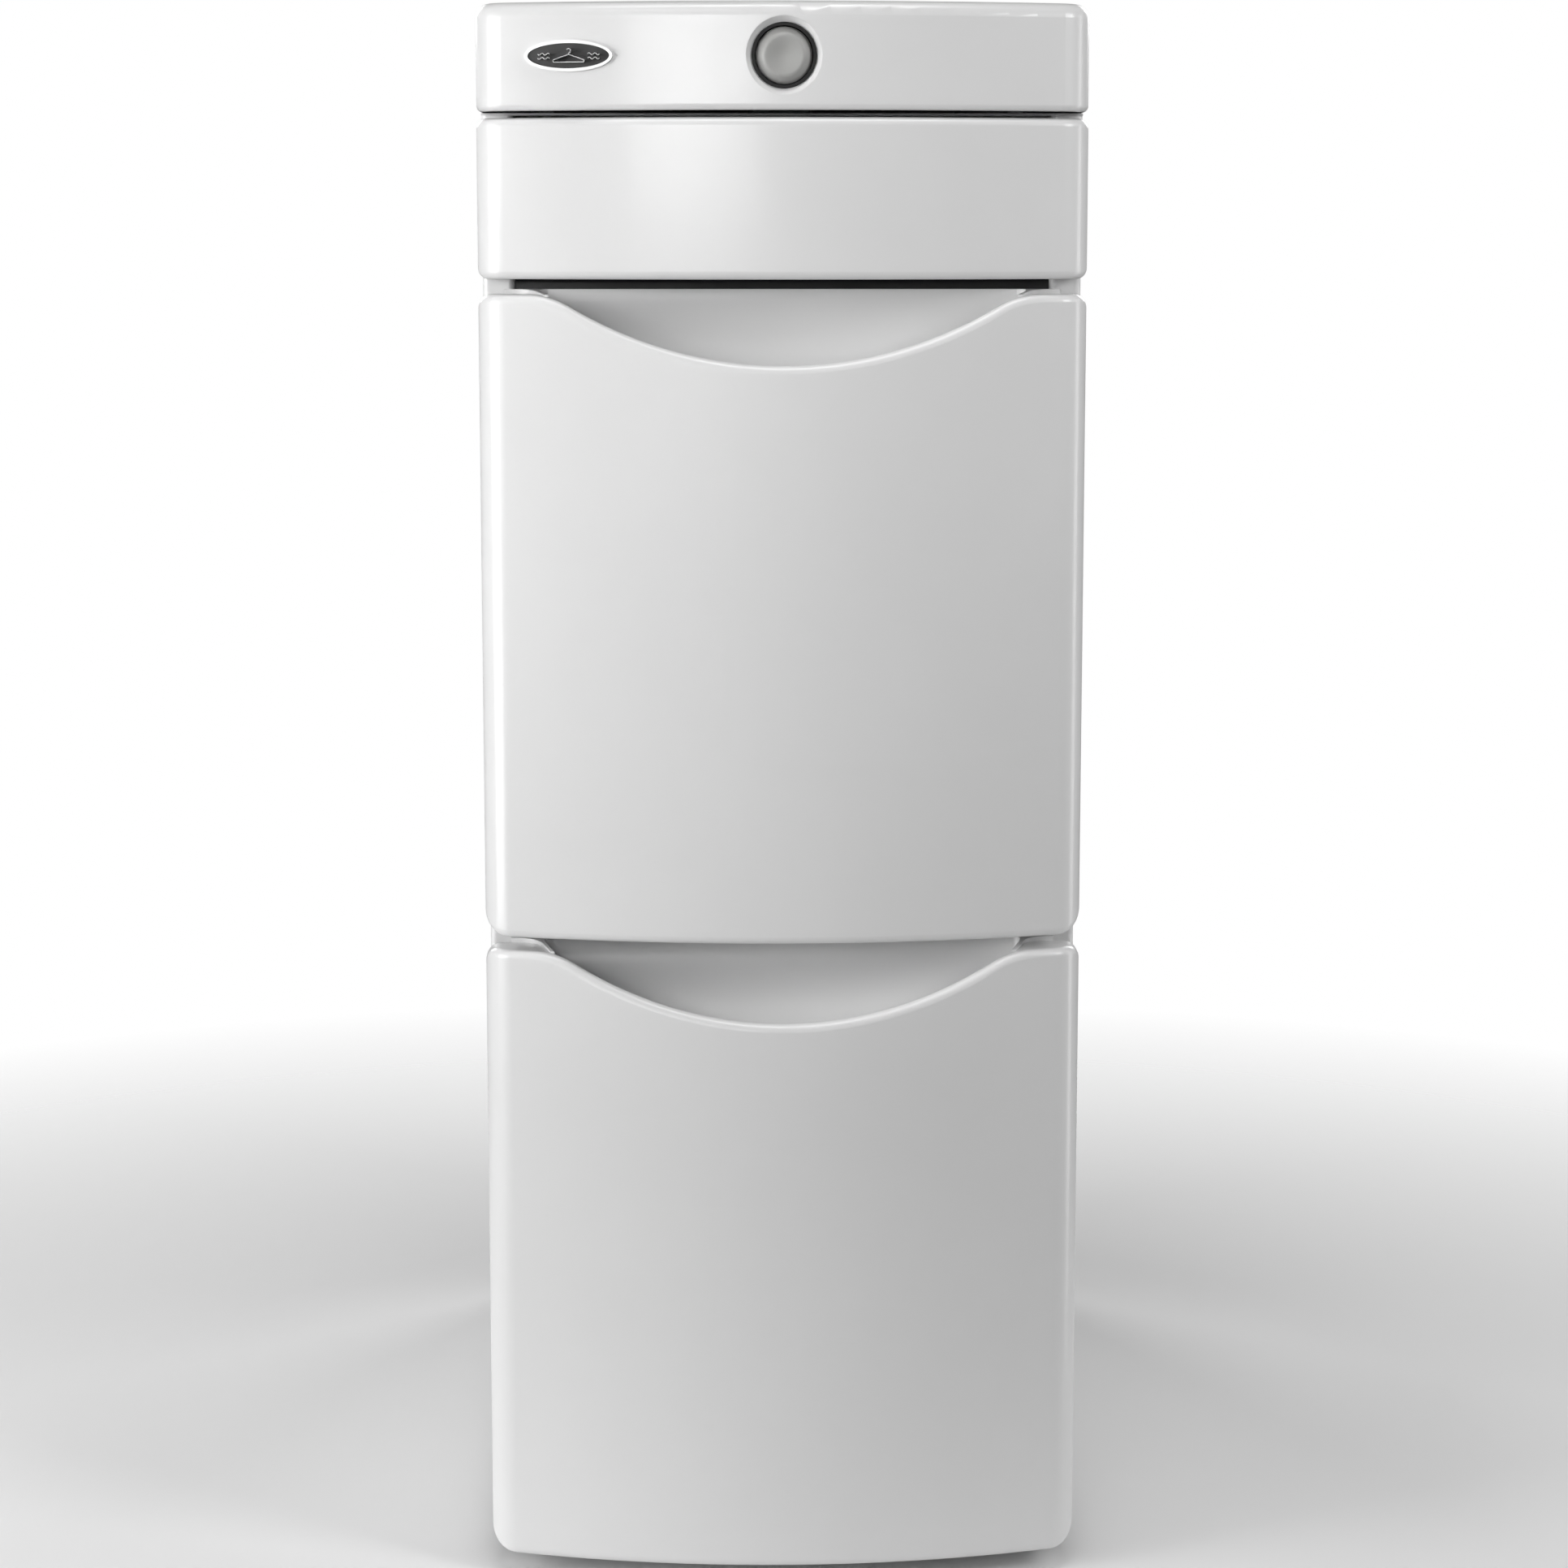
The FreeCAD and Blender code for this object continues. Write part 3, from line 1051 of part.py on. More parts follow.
cabinet_shell()
base()
rails_and_uprights()
deck()
bumpers()
cap()
badge()
knob_and_rod()
rod_supports()
levelling_feet()
drawer_unit()
bin_unit("upper_bin", UPPER_LOW, UPPER_HIGH, "dims.upper_box_lift")
bin_unit("lower_bin", LOWER_LOW, LOWER_HIGH, "dims.lower_box_lift")
doc.recompute()

failed = [item.Name for item in doc.Objects if {"Invalid", "Error"} & set(item.State)]
if failed:
    raise RuntimeError(f"failed objects: {failed}")
for name, feature in nodes.items():
    if feature.Shape.isNull() or not feature.Shape.isValid() or not feature.Shape.Solids:
        raise RuntimeError(f"{name} has no valid solid")

os.makedirs("parts", exist_ok=True)
for name, feature in nodes.items():
    feature.Shape.exportStep(f"parts/{name}.step")
print(f"{len(nodes)} sub-parts written")
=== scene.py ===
import json
import math

import bmesh
import bpy
from mathutils import Matrix, Vector


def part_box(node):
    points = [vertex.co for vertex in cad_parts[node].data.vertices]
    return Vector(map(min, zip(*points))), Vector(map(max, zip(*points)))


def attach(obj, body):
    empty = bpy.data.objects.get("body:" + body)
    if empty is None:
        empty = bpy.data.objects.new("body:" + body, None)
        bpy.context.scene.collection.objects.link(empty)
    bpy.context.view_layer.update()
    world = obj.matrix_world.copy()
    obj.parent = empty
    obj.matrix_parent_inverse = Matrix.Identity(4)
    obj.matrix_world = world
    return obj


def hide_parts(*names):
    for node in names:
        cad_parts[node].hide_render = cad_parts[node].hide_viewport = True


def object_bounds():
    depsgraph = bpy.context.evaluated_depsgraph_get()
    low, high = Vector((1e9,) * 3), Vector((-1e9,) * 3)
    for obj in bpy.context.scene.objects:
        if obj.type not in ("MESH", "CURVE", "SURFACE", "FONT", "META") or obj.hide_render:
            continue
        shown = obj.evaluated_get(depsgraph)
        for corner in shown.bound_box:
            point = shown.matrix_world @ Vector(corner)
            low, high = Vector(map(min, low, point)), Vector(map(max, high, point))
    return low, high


# Looks of the laundry storage tower. Metres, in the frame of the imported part: +Z up, front to -Y.

MM = 0.001

# Camera: sideways from the middle, ahead of the foremost line of the front, and above the floor.
CAMERA_SIDE = -0.0441
CAMERA_AHEAD = 2.2881
CAMERA_HEIGHT = 0.8677
CAMERA_PITCH = math.radians(81.51)
CAMERA_YAW = math.radians(-1.10)
CAMERA_LENS = 84.84
CAMERA_SENSOR = 36.0

# The bow of the fronts, from part.py's table of sizes.
BOW_RISE = 49.4 * MM
CORNER_RADIUS = 24 * MM

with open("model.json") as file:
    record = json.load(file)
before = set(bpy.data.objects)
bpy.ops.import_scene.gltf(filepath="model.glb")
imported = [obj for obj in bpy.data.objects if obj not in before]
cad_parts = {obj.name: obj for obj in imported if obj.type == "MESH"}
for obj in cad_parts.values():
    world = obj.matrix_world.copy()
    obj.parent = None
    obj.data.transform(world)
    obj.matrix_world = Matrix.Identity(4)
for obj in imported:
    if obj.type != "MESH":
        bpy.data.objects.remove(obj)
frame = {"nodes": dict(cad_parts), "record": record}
cad_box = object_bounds()
nodes = frame["nodes"]
low, high = cad_box
corner_centre_x = high.x - CORNER_RADIUS
bow_radius = ((corner_centre_x ** 2 + BOW_RISE ** 2 - CORNER_RADIUS ** 2)
              / (2 * (BOW_RISE - CORNER_RADIUS)))


# ---- node graphs ---------------------------------------------------------------------------------

# the share of a noise's range that holds most of its values
MIDDLE_OF_NOISE = (0.3, 0.7)
MIDDLE_OF_STREAKS = (0.25, 0.75)


class Graph:
    """A material's node tree, with short calls for the nodes used here."""

    def __init__(self, name):
        self.material = bpy.data.materials.new(name)
        self.material.use_nodes = True
        self.tree = self.material.node_tree
        self.shader = self.tree.nodes["Principled BSDF"]
        self.place = self.add("ShaderNodeTexCoord").outputs["Object"]

    def add(self, kind, **values):
        node = self.tree.nodes.new(kind)
        for key, value in values.items():
            setattr(node, key, value)
        return node

    def join(self, source, target):
        self.tree.links.new(source, target)

    def stretched(self, scale):
        """Object coordinates scaled along each axis, for streaks."""
        mapping = self.add("ShaderNodeMapping")
        mapping.inputs["Scale"].default_value = scale
        self.join(self.place, mapping.inputs["Vector"])
        return mapping.outputs["Vector"]

    def noise(self, scale, detail, rough, vector=None):
        node = self.add("ShaderNodeTexNoise")
        node.inputs["Scale"].default_value = scale
        node.inputs["Detail"].default_value = detail
        node.inputs["Roughness"].default_value = rough
        self.join(vector or self.place, node.inputs["Vector"])
        return node.outputs["Fac"]

    def cells(self, scale):
        """A pattern of cells with one random colour each."""
        node = self.add("ShaderNodeTexVoronoi")
        node.inputs["Scale"].default_value = scale
        self.join(self.place, node.inputs["Vector"])
        return node.outputs["Color"]

    def mapped(self, value, to_low, to_high, from_low=0.0, from_high=1.0):
        """A value's range moved to another range, and held inside it."""
        node = self.add("ShaderNodeMapRange")
        for name, number in (("From Min", from_low), ("From Max", from_high),
                             ("To Min", to_low), ("To Max", to_high)):
            node.inputs[name].default_value = number
        self.join(value, node.inputs["Value"])
        return node.outputs["Result"]

    def mixed(self, share, one, other):
        """A colour between two colours."""
        node = self.add("ShaderNodeMix", data_type="RGBA")
        self.join(share, node.inputs["Factor"])
        node.inputs["A"].default_value = (*one, 1)
        node.inputs["B"].default_value = (*other, 1)
        return node.outputs["Result"]

    def mottled(self, colour, darkest, scale, detail, rough):
        """A base colour that darkens softly in patches, down to a share of itself."""
        darker = tuple(channel * darkest for channel in colour)
        patches = self.mapped(self.noise(scale, detail, rough), 0, 1, *MIDDLE_OF_NOISE)
        self.colour(self.mixed(patches, colour, darker))

    def worn(self, rough, least, most, scale):
        """A roughness that varies in marks, between two shares of itself."""
        marks = self.noise(scale, detail=6, rough=0.7)
        self.roughness(self.mapped(marks, rough * least, rough * most, *MIDDLE_OF_NOISE))

    def colour(self, value):
        self.join(value, self.shader.inputs["Base Color"])

    def roughness(self, value):
        self.join(value, self.shader.inputs["Roughness"])

    def bump(self, height, depth):
        """Bump of a real depth in metres. Later calls build on earlier ones."""
        node = self.add("ShaderNodeBump")
        node.inputs["Strength"].default_value = 1.0
        node.inputs["Distance"].default_value = depth
        self.join(height, node.inputs["Height"])
        before = self.shader.inputs["Normal"].links
        if before:
            self.join(before[0].from_socket, node.inputs["Normal"])
        self.join(node.outputs["Normal"], self.shader.inputs["Normal"])

    def rounded(self, radius):
        """Softens the sharp edges' shading as moulding does."""
        node = self.add("ShaderNodeBevel", samples=4)
        node.inputs["Radius"].default_value = radius
        self.join(node.outputs["Normal"], self.shader.inputs["Normal"])

    def fixed(self, **values):
        for name, value in values.items():
            self.shader.inputs[name.replace("_", " ")].default_value = value


# ---- materials -----------------------------------------------------------------------------------

# the rounding of a sheet's edges, depths of fine relief, and how dust lightens rubber
SHEET_EDGE = 0.6 * MM
WAVE_DEPTH = 0.25 * MM
ZINC_GRAIN = 0.02 * MM
DRAWN_LINE_DEPTH = 0.015 * MM
DRAWN_GRAIN = 0.01 * MM
RUBBER_GRAIN = 0.03 * MM
DUST_GAIN = 1.5
DUST_LIFT = 0.03


def moulded_plastic(name, colour, rough, edge, grain_depth, coat=0.0):
    """Injection-moulded plastic: slight orange peel, soft mottling and handling marks."""
    g = Graph(name)
    g.rounded(edge)
    g.mottled(colour, darkest=0.965, scale=5, detail=4, rough=0.6)
    g.worn(rough, least=0.88, most=1.18, scale=38)
    g.bump(g.noise(scale=260, detail=2, rough=0.4), grain_depth)
    g.fixed(IOR=1.5, Coat_Weight=coat, Coat_Roughness=0.12)
    return g.material


def baked_enamel(name, colour, rough, peel_depth):
    """Baked enamel on sheet steel: orange peel of a few millimetres and faint flow waves."""
    g = Graph(name)
    g.rounded(SHEET_EDGE)
    g.mottled(colour, darkest=0.955, scale=7, detail=5, rough=0.62)
    g.worn(rough, least=0.85, most=1.25, scale=22)
    g.bump(g.noise(scale=9, detail=2, rough=0.4), WAVE_DEPTH)
    g.bump(g.noise(scale=420, detail=2, rough=0.5), peel_depth)
    g.fixed(IOR=1.52, Coat_Weight=0.25, Coat_Roughness=0.15)
    return g.material


def galvanised(name, light, dark):
    """Hot-dip zinc: flat spangles of differing brightness and sheen."""
    g = Graph(name)
    flake = g.cells(scale=70)
    g.colour(g.mixed(g.mapped(flake, 0, 1), dark, light))
    g.roughness(g.mapped(flake, to_low=0.28, to_high=0.5))
    g.bump(g.noise(scale=300, detail=3, rough=0.5), ZINC_GRAIN)
    g.fixed(Metallic=1.0)
    return g.material


def drawn_steel(name, light, dark, streak, rough):
    """Bright plated steel with fine lines left along the direction that it was drawn."""
    g = Graph(name)
    lines = g.noise(scale=1, detail=4, rough=0.65, vector=g.stretched(streak))
    g.colour(g.mixed(g.mapped(lines, 0, 1, *MIDDLE_OF_STREAKS), dark, light))
    g.roughness(g.mapped(lines, rough * 0.75, rough * 1.35, *MIDDLE_OF_STREAKS))
    g.bump(lines, DRAWN_LINE_DEPTH)
    g.bump(g.noise(scale=180, detail=4, rough=0.6), DRAWN_GRAIN)
    g.fixed(Metallic=1.0)
    return g.material


def rubber(name, colour, rough):
    """Rubber with a fine matt skin and dust in patches."""
    g = Graph(name)
    dusty = tuple(min(1.0, channel * DUST_GAIN + DUST_LIFT) for channel in colour)
    dust = g.noise(scale=90, detail=5, rough=0.7)
    g.colour(g.mixed(g.mapped(dust, 0, 1, from_low=0.42, from_high=0.75), colour, dusty))
    skin = g.noise(scale=160, detail=4, rough=0.6)
    g.roughness(g.mapped(skin, rough * 0.85, min(1.0, rough * 1.15)))
    g.bump(g.noise(scale=1500, detail=3, rough=0.6), RUBBER_GRAIN)
    g.fixed(IOR=1.45)
    return g.material


# how tightly a noise is packed along X, Y and Z
STREAKS_ALONG_Y = (900, 3, 900)
FINE_GRAIN = (400, 400, 400)
COARSE_GRAIN = (60, 60, 60)


def grey(level):
    """A neutral colour."""
    return (level, level, level)


# slot: maker, then what the maker takes after the name
RECIPES = {
    "white_plastic": (moulded_plastic, grey(0.845), 0.34, 0.9 * MM, 0.012 * MM, 0.35),
    "white_enamel": (baked_enamel, grey(0.835), 0.32, 0.02 * MM),
    "grey_enamel": (baked_enamel, (0.62, 0.63, 0.64), 0.42, 0.03 * MM),
    # black_enamel: the front rails, black-painted steel; their near-black also stands in for the
    # shade deep in the gaps between the fronts, so it is partly painted shade
    "black_enamel": (baked_enamel, (0.012, 0.012, 0.013), 0.45, 0.03 * MM),
    "galvanised_steel": (galvanised, (0.62, 0.64, 0.66), (0.42, 0.44, 0.46)),
    "slide_steel": (drawn_steel, (0.66, 0.67, 0.68), (0.48, 0.49, 0.5), STREAKS_ALONG_Y, 0.28),
    "zinc_steel": (drawn_steel, (0.7, 0.69, 0.64), (0.5, 0.49, 0.46), FINE_GRAIN, 0.3),
    "tray_plastic": (moulded_plastic, (0.72, 0.73, 0.73), 0.55, 0.8 * MM, 0.05 * MM),
    "knob_grey": (moulded_plastic, (0.42, 0.42, 0.41), 0.42, 0.5 * MM, 0.02 * MM),
    "black_plastic": (moulded_plastic, grey(0.006), 0.5, 0.3 * MM, 0.02 * MM),
    "badge_chrome": (drawn_steel, grey(0.84), grey(0.74), COARSE_GRAIN, 0.4),
    "rod_chrome": (drawn_steel, (0.8, 0.81, 0.83), (0.7, 0.71, 0.73), STREAKS_ALONG_Y, 0.1),
    "badge_dark": (moulded_plastic, grey(0.045), 0.6, 0.2 * MM, 0.005 * MM),
    "bumper_rubber": (rubber, (0.66, 0.66, 0.63), 0.5),
    "foot_rubber": (rubber, grey(0.025), 0.75),
}
MATERIALS = {name: maker(name, *values) for name, (maker, *values) in RECIPES.items()}


def dress(obj, slot):
    """Gives an object one of the materials."""
    obj.data.materials.clear()
    obj.data.materials.append(MATERIALS[slot])


def dress_frame():
    """Gives every carried-over node the material of its slot in the record."""
    for part in frame["record"]["subparts"]:
        dress(nodes[part["node"]], part["material_slot"])


# ---- mesh building -------------------------------------------------------------------------------

SHARP_ANGLE = math.radians(40)
ON_AXIS = 1e-7


def new_piece(name, shape, slot, body, replaces=()):
    """Makes a bmesh into a smooth-shaded piece that rides on a body."""
    bmesh.ops.recalc_face_normals(shape, faces=shape.faces)
    mesh = bpy.data.meshes.new(name)
    shape.to_mesh(mesh)
    shape.free()
    piece = bpy.data.objects.new(name, mesh)
    bpy.context.scene.collection.objects.link(piece)
    mesh.shade_smooth()
    mesh.set_sharp_from_angle(angle=SHARP_ANGLE)
    dress(piece, slot)
    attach(piece, body)
    if replaces:
        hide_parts(*replaces)


def rounded_profile(corners, steps=6):
    """Corners (distance, radius, rounding) joined by straight lines and arcs, as points."""
    points = []
    for index, (along, out, bend) in enumerate(corners):
        here = Vector((along, out))
        if not bend or index in (0, len(corners) - 1):
            points.append(here)
            continue
        into = (Vector(corners[index - 1][:2]) - here).normalized()
        onward = (Vector(corners[index + 1][:2]) - here).normalized()
        half_angle = into.angle(onward) / 2
        reach = bend / math.tan(half_angle)
        centre = here + (into + onward).normalized() * (bend / math.sin(half_angle))
        start, end = here + into * reach - centre, here + onward * reach - centre
        swing = start.angle_signed(end)
        for step in range(steps + 1):
            turn = Matrix.Rotation(-swing * step / steps, 2)
            points.append(centre + turn @ start)
    return points


def lathe(shape, points, place, segments=72):
    """Adds a surface turned about local Z and returns its rings of vertices.

    Points are (distance along Z, radius), and a point on the axis is one vertex.
    """
    rings = []
    for along, out in points:
        if out < ON_AXIS:
            rings.append([shape.verts.new(place @ Vector((0, 0, along)))])
            continue
        ring = []
        for step in range(segments):
            angle = 2 * math.pi * step / segments
            ring.append(shape.verts.new(
                place @ Vector((out * math.cos(angle), out * math.sin(angle), along))))
        rings.append(ring)
    for one, other in zip(rings, rings[1:]):
        for step in range(segments):
            after = (step + 1) % segments
            corners = [one[step % len(one)], one[after % len(one)],
                       other[after % len(other)], other[step % len(other)]]
            corners = list(dict.fromkeys(corners))
            if len(corners) > 2:
                shape.faces.new(corners)
    return rings


# turns local Z to face along a world axis
FACING = {
    "-y": Matrix.Rotation(math.radians(90), 4, "X"),
    "+y": Matrix.Rotation(math.radians(-90), 4, "X"),
    "-z": Matrix.Rotation(math.radians(180), 4, "X"),
}


# ---- knob ----------------------------------------------------------------------------------------

KNOB_DISH = 2.0 * MM
KNOB_DISH_POWER = 1.5
KNOB_DISH_STEPS = (0, 0.15, 0.3, 0.45, 0.6, 0.7, 0.8, 0.87, 0.93)
KNOB_RIDGE = 12.6 * MM
KNOB_RIDGE_INSIDE = 0.94
KNOB_CHAMFER = 5.6 * MM
RIDGE_ROUND = 2.4 * MM
RIM_ROUND = 1.6 * MM
BACK_ROUND = 0.8 * MM
ROD_SOCKET = 8.05 * MM
ROD_SOCKET_DEPTH = 2 * MM


def knob():
    """The push knob: a shallow dish inside a soft ridge, and a sloping rim."""
    front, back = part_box("rod_knob")
    wide = (back.x - front.x) / 2
    deep = back.y - front.y
    centre = Vector(((front.x + back.x) / 2, back.y, (front.z + back.z) / 2))
    dish = [(deep - KNOB_DISH * math.cos(math.pi / 2 * share) ** KNOB_DISH_POWER,
             KNOB_RIDGE * KNOB_RIDGE_INSIDE * share) for share in KNOB_DISH_STEPS]
    rim = rounded_profile([
        (*dish[-1], 0),
        (deep, KNOB_RIDGE, RIDGE_ROUND),
        (deep - KNOB_CHAMFER, wide, RIM_ROUND),
        (0, wide, BACK_ROUND),
        (0, ROD_SOCKET, 0),
    ])
    shape = bmesh.new()
    socket = [(ROD_SOCKET_DEPTH, ROD_SOCKET), (ROD_SOCKET_DEPTH, 0)]
    lathe(shape, dish + rim[1:] + socket, Matrix.Translation(centre) @ FACING["-y"], segments=96)
    new_piece("knob_moulding", shape, "knob_grey", "rod", ["rod_knob"])


# ---- screws --------------------------------------------------------------------------------------

SCREW_HEAD = 3.5 * MM
SCREW_HEAD_HEIGHT = 1.8 * MM
SCREW_SHANK = 1.75 * MM
SCREW_LENGTH = 10 * MM
CROSS_HALF_WIDTH = 0.45 * MM
CROSS_REACH = 1.9 * MM
CROSS_DEPTH = 1.1 * MM
CROSS_WALL = 0.15 * MM
CROSS_END = 0.9 * MM
CROWN_EDGE = 0.45
CROWN_POWER = 2.6
HEAD_SEGMENTS = 40
HEAD_ROWS = 12
THREAD_PITCH = 1.2 * MM
THREAD_DEPTH = 0.35 * MM
SCREW_TIP = 0.4

# how far each screw happens to be turned, in degrees
TURN_BY_ROW, TURN_RIGHT, TURN_LEFT = 37, 11, 64


def cross_recess(x, y):
    """Depth of the cross recess below the crown at a point of a screw's head."""
    arm = min(abs(x), abs(y))
    reach = max(abs(x), abs(y))
    across = min(1.0, max(0.0, (CROSS_HALF_WIDTH + CROSS_WALL - arm) / CROSS_WALL))
    along = min(1.0, max(0.0, (CROSS_REACH - reach) / CROSS_END))
    return CROSS_DEPTH * across * along


def screw(shape, place):
    """A pan-head screw with a cross recess. Local Z points out of its head from its seat."""
    crown = shape.verts.new(place @ Vector((0, 0, SCREW_HEAD_HEIGHT - cross_recess(0, 0))))
    before = [crown]
    for row in range(1, HEAD_ROWS + 1):
        out = SCREW_HEAD * math.sin(math.pi / 2 * row / HEAD_ROWS)
        fall = math.sqrt(max(0, 1 - (out / SCREW_HEAD) ** CROWN_POWER))
        dome = SCREW_HEAD_HEIGHT * (CROWN_EDGE + (1 - CROWN_EDGE) * fall)
        ring = []
        for step in range(HEAD_SEGMENTS):
            angle = 2 * math.pi * (step + 0.5) / HEAD_SEGMENTS
            x, y = out * math.cos(angle), out * math.sin(angle)
            ring.append(shape.verts.new(place @ Vector((x, y, dome - cross_recess(x, y)))))
        for step in range(HEAD_SEGMENTS):
            after = (step + 1) % HEAD_SEGMENTS
            corners = [before[step % len(before)], before[after % len(before)], ring[after],
                       ring[step]]
            shape.faces.new(list(dict.fromkeys(corners)))
        before = ring
    under = [(0, SCREW_HEAD), (0, SCREW_SHANK)]
    turns = int(SCREW_LENGTH / THREAD_PITCH) - 1
    for turn in range(turns):
        start = -THREAD_PITCH * (turn + 0.5)
        under += [(start, SCREW_SHANK), (start - THREAD_PITCH / 2, SCREW_SHANK - THREAD_DEPTH)]
    under += [(-SCREW_LENGTH, SCREW_SHANK * SCREW_TIP), (-SCREW_LENGTH, 0)]
    half_step = Matrix.Rotation(math.pi / HEAD_SEGMENTS, 4, "Z")
    rings = lathe(shape, under, place @ half_step, HEAD_SEGMENTS)
    for step in range(HEAD_SEGMENTS):
        after = (step + 1) % HEAD_SEGMENTS
        shape.faces.new([before[step], before[after], rings[0][after], rings[0][step]])


def screw_group(name, body, axis, sign, rows):
    """Replaces a node of screws by detailed ones: two columns of rows that fill its box."""
    start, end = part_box(name)
    facing = ("+" if sign > 0 else "-") + axis
    depth = "xyz".index(axis)
    seat = end[depth] - SCREW_HEAD_HEIGHT if sign > 0 else start[depth] + SCREW_HEAD_HEIGHT
    over = 2 if axis == "y" else 1
    shape = bmesh.new()
    for x in (start.x + SCREW_HEAD, end.x - SCREW_HEAD):
        for row in range(rows):
            share = row / (rows - 1)
            spot = Vector((x, 0, 0))
            spot[depth] = seat
            spot[over] = (start[over] + SCREW_HEAD) * (1 - share) + (end[over] - SCREW_HEAD) * share
            angle = TURN_BY_ROW * row + (TURN_RIGHT if x > 0 else TURN_LEFT)
            screw(shape, Matrix.Translation(spot) @ FACING[facing]
                  @ Matrix.Rotation(math.radians(angle), 4, "Z"))
    new_piece(f"{name}_detail", shape, "zinc_steel", body, [name])


def screws():
    """All the screws, in the places that the frame gives them."""
    screw_group("back_panel_screws", "cabinet", "y", 1, 4)
    screw_group("cap_screws", "cabinet", "z", -1, 2)
    for unit in ("drawer", "upper_bin", "lower_bin"):
        screw_group(f"{unit}_screws", unit, "y", 1, 2)


# ---- levelling feet ------------------------------------------------------------------------------

FOOT_STUD = 3.9 * MM
FOOT_HEX = 7.2 * MM
FOOT_THREAD = 1.25 * MM
FOOT_THREAD_DEPTH = 0.55 * MM
COLLAR_EASE = 0.8 * MM
STUD_TIP = 0.7

# shares of the pad's radius
PAD_INSIDE, PAD_WAIST, PAD_SOLE = 0.55, 0.62, 0.94

# heights above the floor
PAD_HOLLOW, PAD_RIB_LOW, PAD_RIB_HIGH, PAD_TOP = 1.4 * MM, 3 * MM, 6 * MM, 9 * MM
STUD_START, COLLAR_START, COLLAR_END, THREAD_START = 8 * MM, 8.2 * MM, 13.5 * MM, 14.5 * MM

# how much of the stud's height has no turns, and the slope at its tip
THREAD_SPARE = 16 * MM
STUD_END_CHAMFER = 0.5 * MM


def hexagon_block(shape, place, start, end, across):
    """A hexagonal collar about local Z with its corners turned off."""
    rings = []
    for along, shrink in ((start, COLLAR_EASE), (start + COLLAR_EASE, 0),
                          (end - COLLAR_EASE, 0), (end, COLLAR_EASE)):
        rings.append([shape.verts.new(place @ Vector((
            (across - shrink) * math.cos(math.pi / 3 * step),
            (across - shrink) * math.sin(math.pi / 3 * step), along))) for step in range(6)])
    for one, other in zip(rings, rings[1:]):
        for step in range(6):
            after = (step + 1) % 6
            shape.faces.new([one[step], one[after], other[after], other[step]])
    shape.faces.new(rings[0])
    shape.faces.new(rings[-1])


def levelling_foot(corner):
    """A ribbed rubber pad, a hexagonal collar to turn it by, and a threaded stud."""
    name = f"levelling_foot_{corner}"
    start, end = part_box(name)
    pad = (end.x - start.x) / 2
    base = Vector(((start.x + end.x) / 2, (start.y + end.y) / 2, start.z))
    place = Matrix.Translation(base)
    tall = end.z - start.z
    rubber_pad = rounded_profile([
        (PAD_HOLLOW, 0, 0), (PAD_HOLLOW, pad * PAD_INSIDE, 0.3 * MM), (0, pad * PAD_WAIST, 0.6 * MM),
        (0, pad * PAD_SOLE, 1.2 * MM), (PAD_RIB_LOW, pad, 1.6 * MM), (PAD_RIB_HIGH, pad, 1.6 * MM),
        (PAD_TOP, pad * PAD_WAIST, 1.2 * MM), (PAD_TOP, 0, 0),
    ], steps=5)
    shape = bmesh.new()
    lathe(shape, rubber_pad, place, segments=80)
    new_piece(f"foot_pad_{corner}", shape, "foot_rubber", f"foot_{corner}", [name])
    thread = [(STUD_START, 0), (STUD_START, FOOT_STUD)]
    turns = int((tall - THREAD_SPARE) / FOOT_THREAD)
    for turn in range(turns):
        level = THREAD_START + turn * FOOT_THREAD
        thread += [(level, FOOT_STUD - FOOT_THREAD_DEPTH), (level + FOOT_THREAD / 2, FOOT_STUD)]
    thread += [(tall - STUD_END_CHAMFER, FOOT_STUD - FOOT_THREAD_DEPTH),
               (tall, FOOT_STUD * STUD_TIP), (tall, 0)]
    shape = bmesh.new()
    lathe(shape, thread, place, segments=40)
    hexagon_block(shape, place, COLLAR_START, COLLAR_END, FOOT_HEX)
    new_piece(f"foot_stud_{corner}", shape, "zinc_steel", f"foot_{corner}")


# ---- badge ---------------------------------------------------------------------------------------

MOTIF_WIDTH = 0.7 * MM
MOTIF_PROUD = 0.3 * MM
MOTIF_BASE = -0.35 * MM
BEAD_SECTION = ((-1, 0), (-0.85, 0.7), (-0.4, 1), (0.4, 1), (0.85, 0.7), (1, 0))

HANGER_SHARE = 0.36
HANGER_RISE = 0.6 * MM
HANGER_SLOPE = 1.15
HANGER_CORNER = 0.75 * MM
CORNER_INWARD, CORNER_DOWN = 0.35 * MM, 0.7 * MM
HOOK_NECK, HOOK_MIDDLE, HOOK_RADIUS = 0.9 * MM, 2.2 * MM, 1.3 * MM

RIPPLE_STEPS = 24
RIPPLE_GAP, RIPPLE_LENGTH, RIPPLE_HEIGHT = 2.6 * MM, 7.2 * MM, 0.55 * MM
RIPPLE_DROP, RIPPLE_APART = 0.4 * MM, 1.25 * MM
RIPPLE_THIN = 0.85


def bow_y(x, proud):
    """Depth of the bowed front at a place across it, standing proud by a little."""
    return low.y + bow_radius - math.sqrt((bow_radius + proud) ** 2 - x * x)


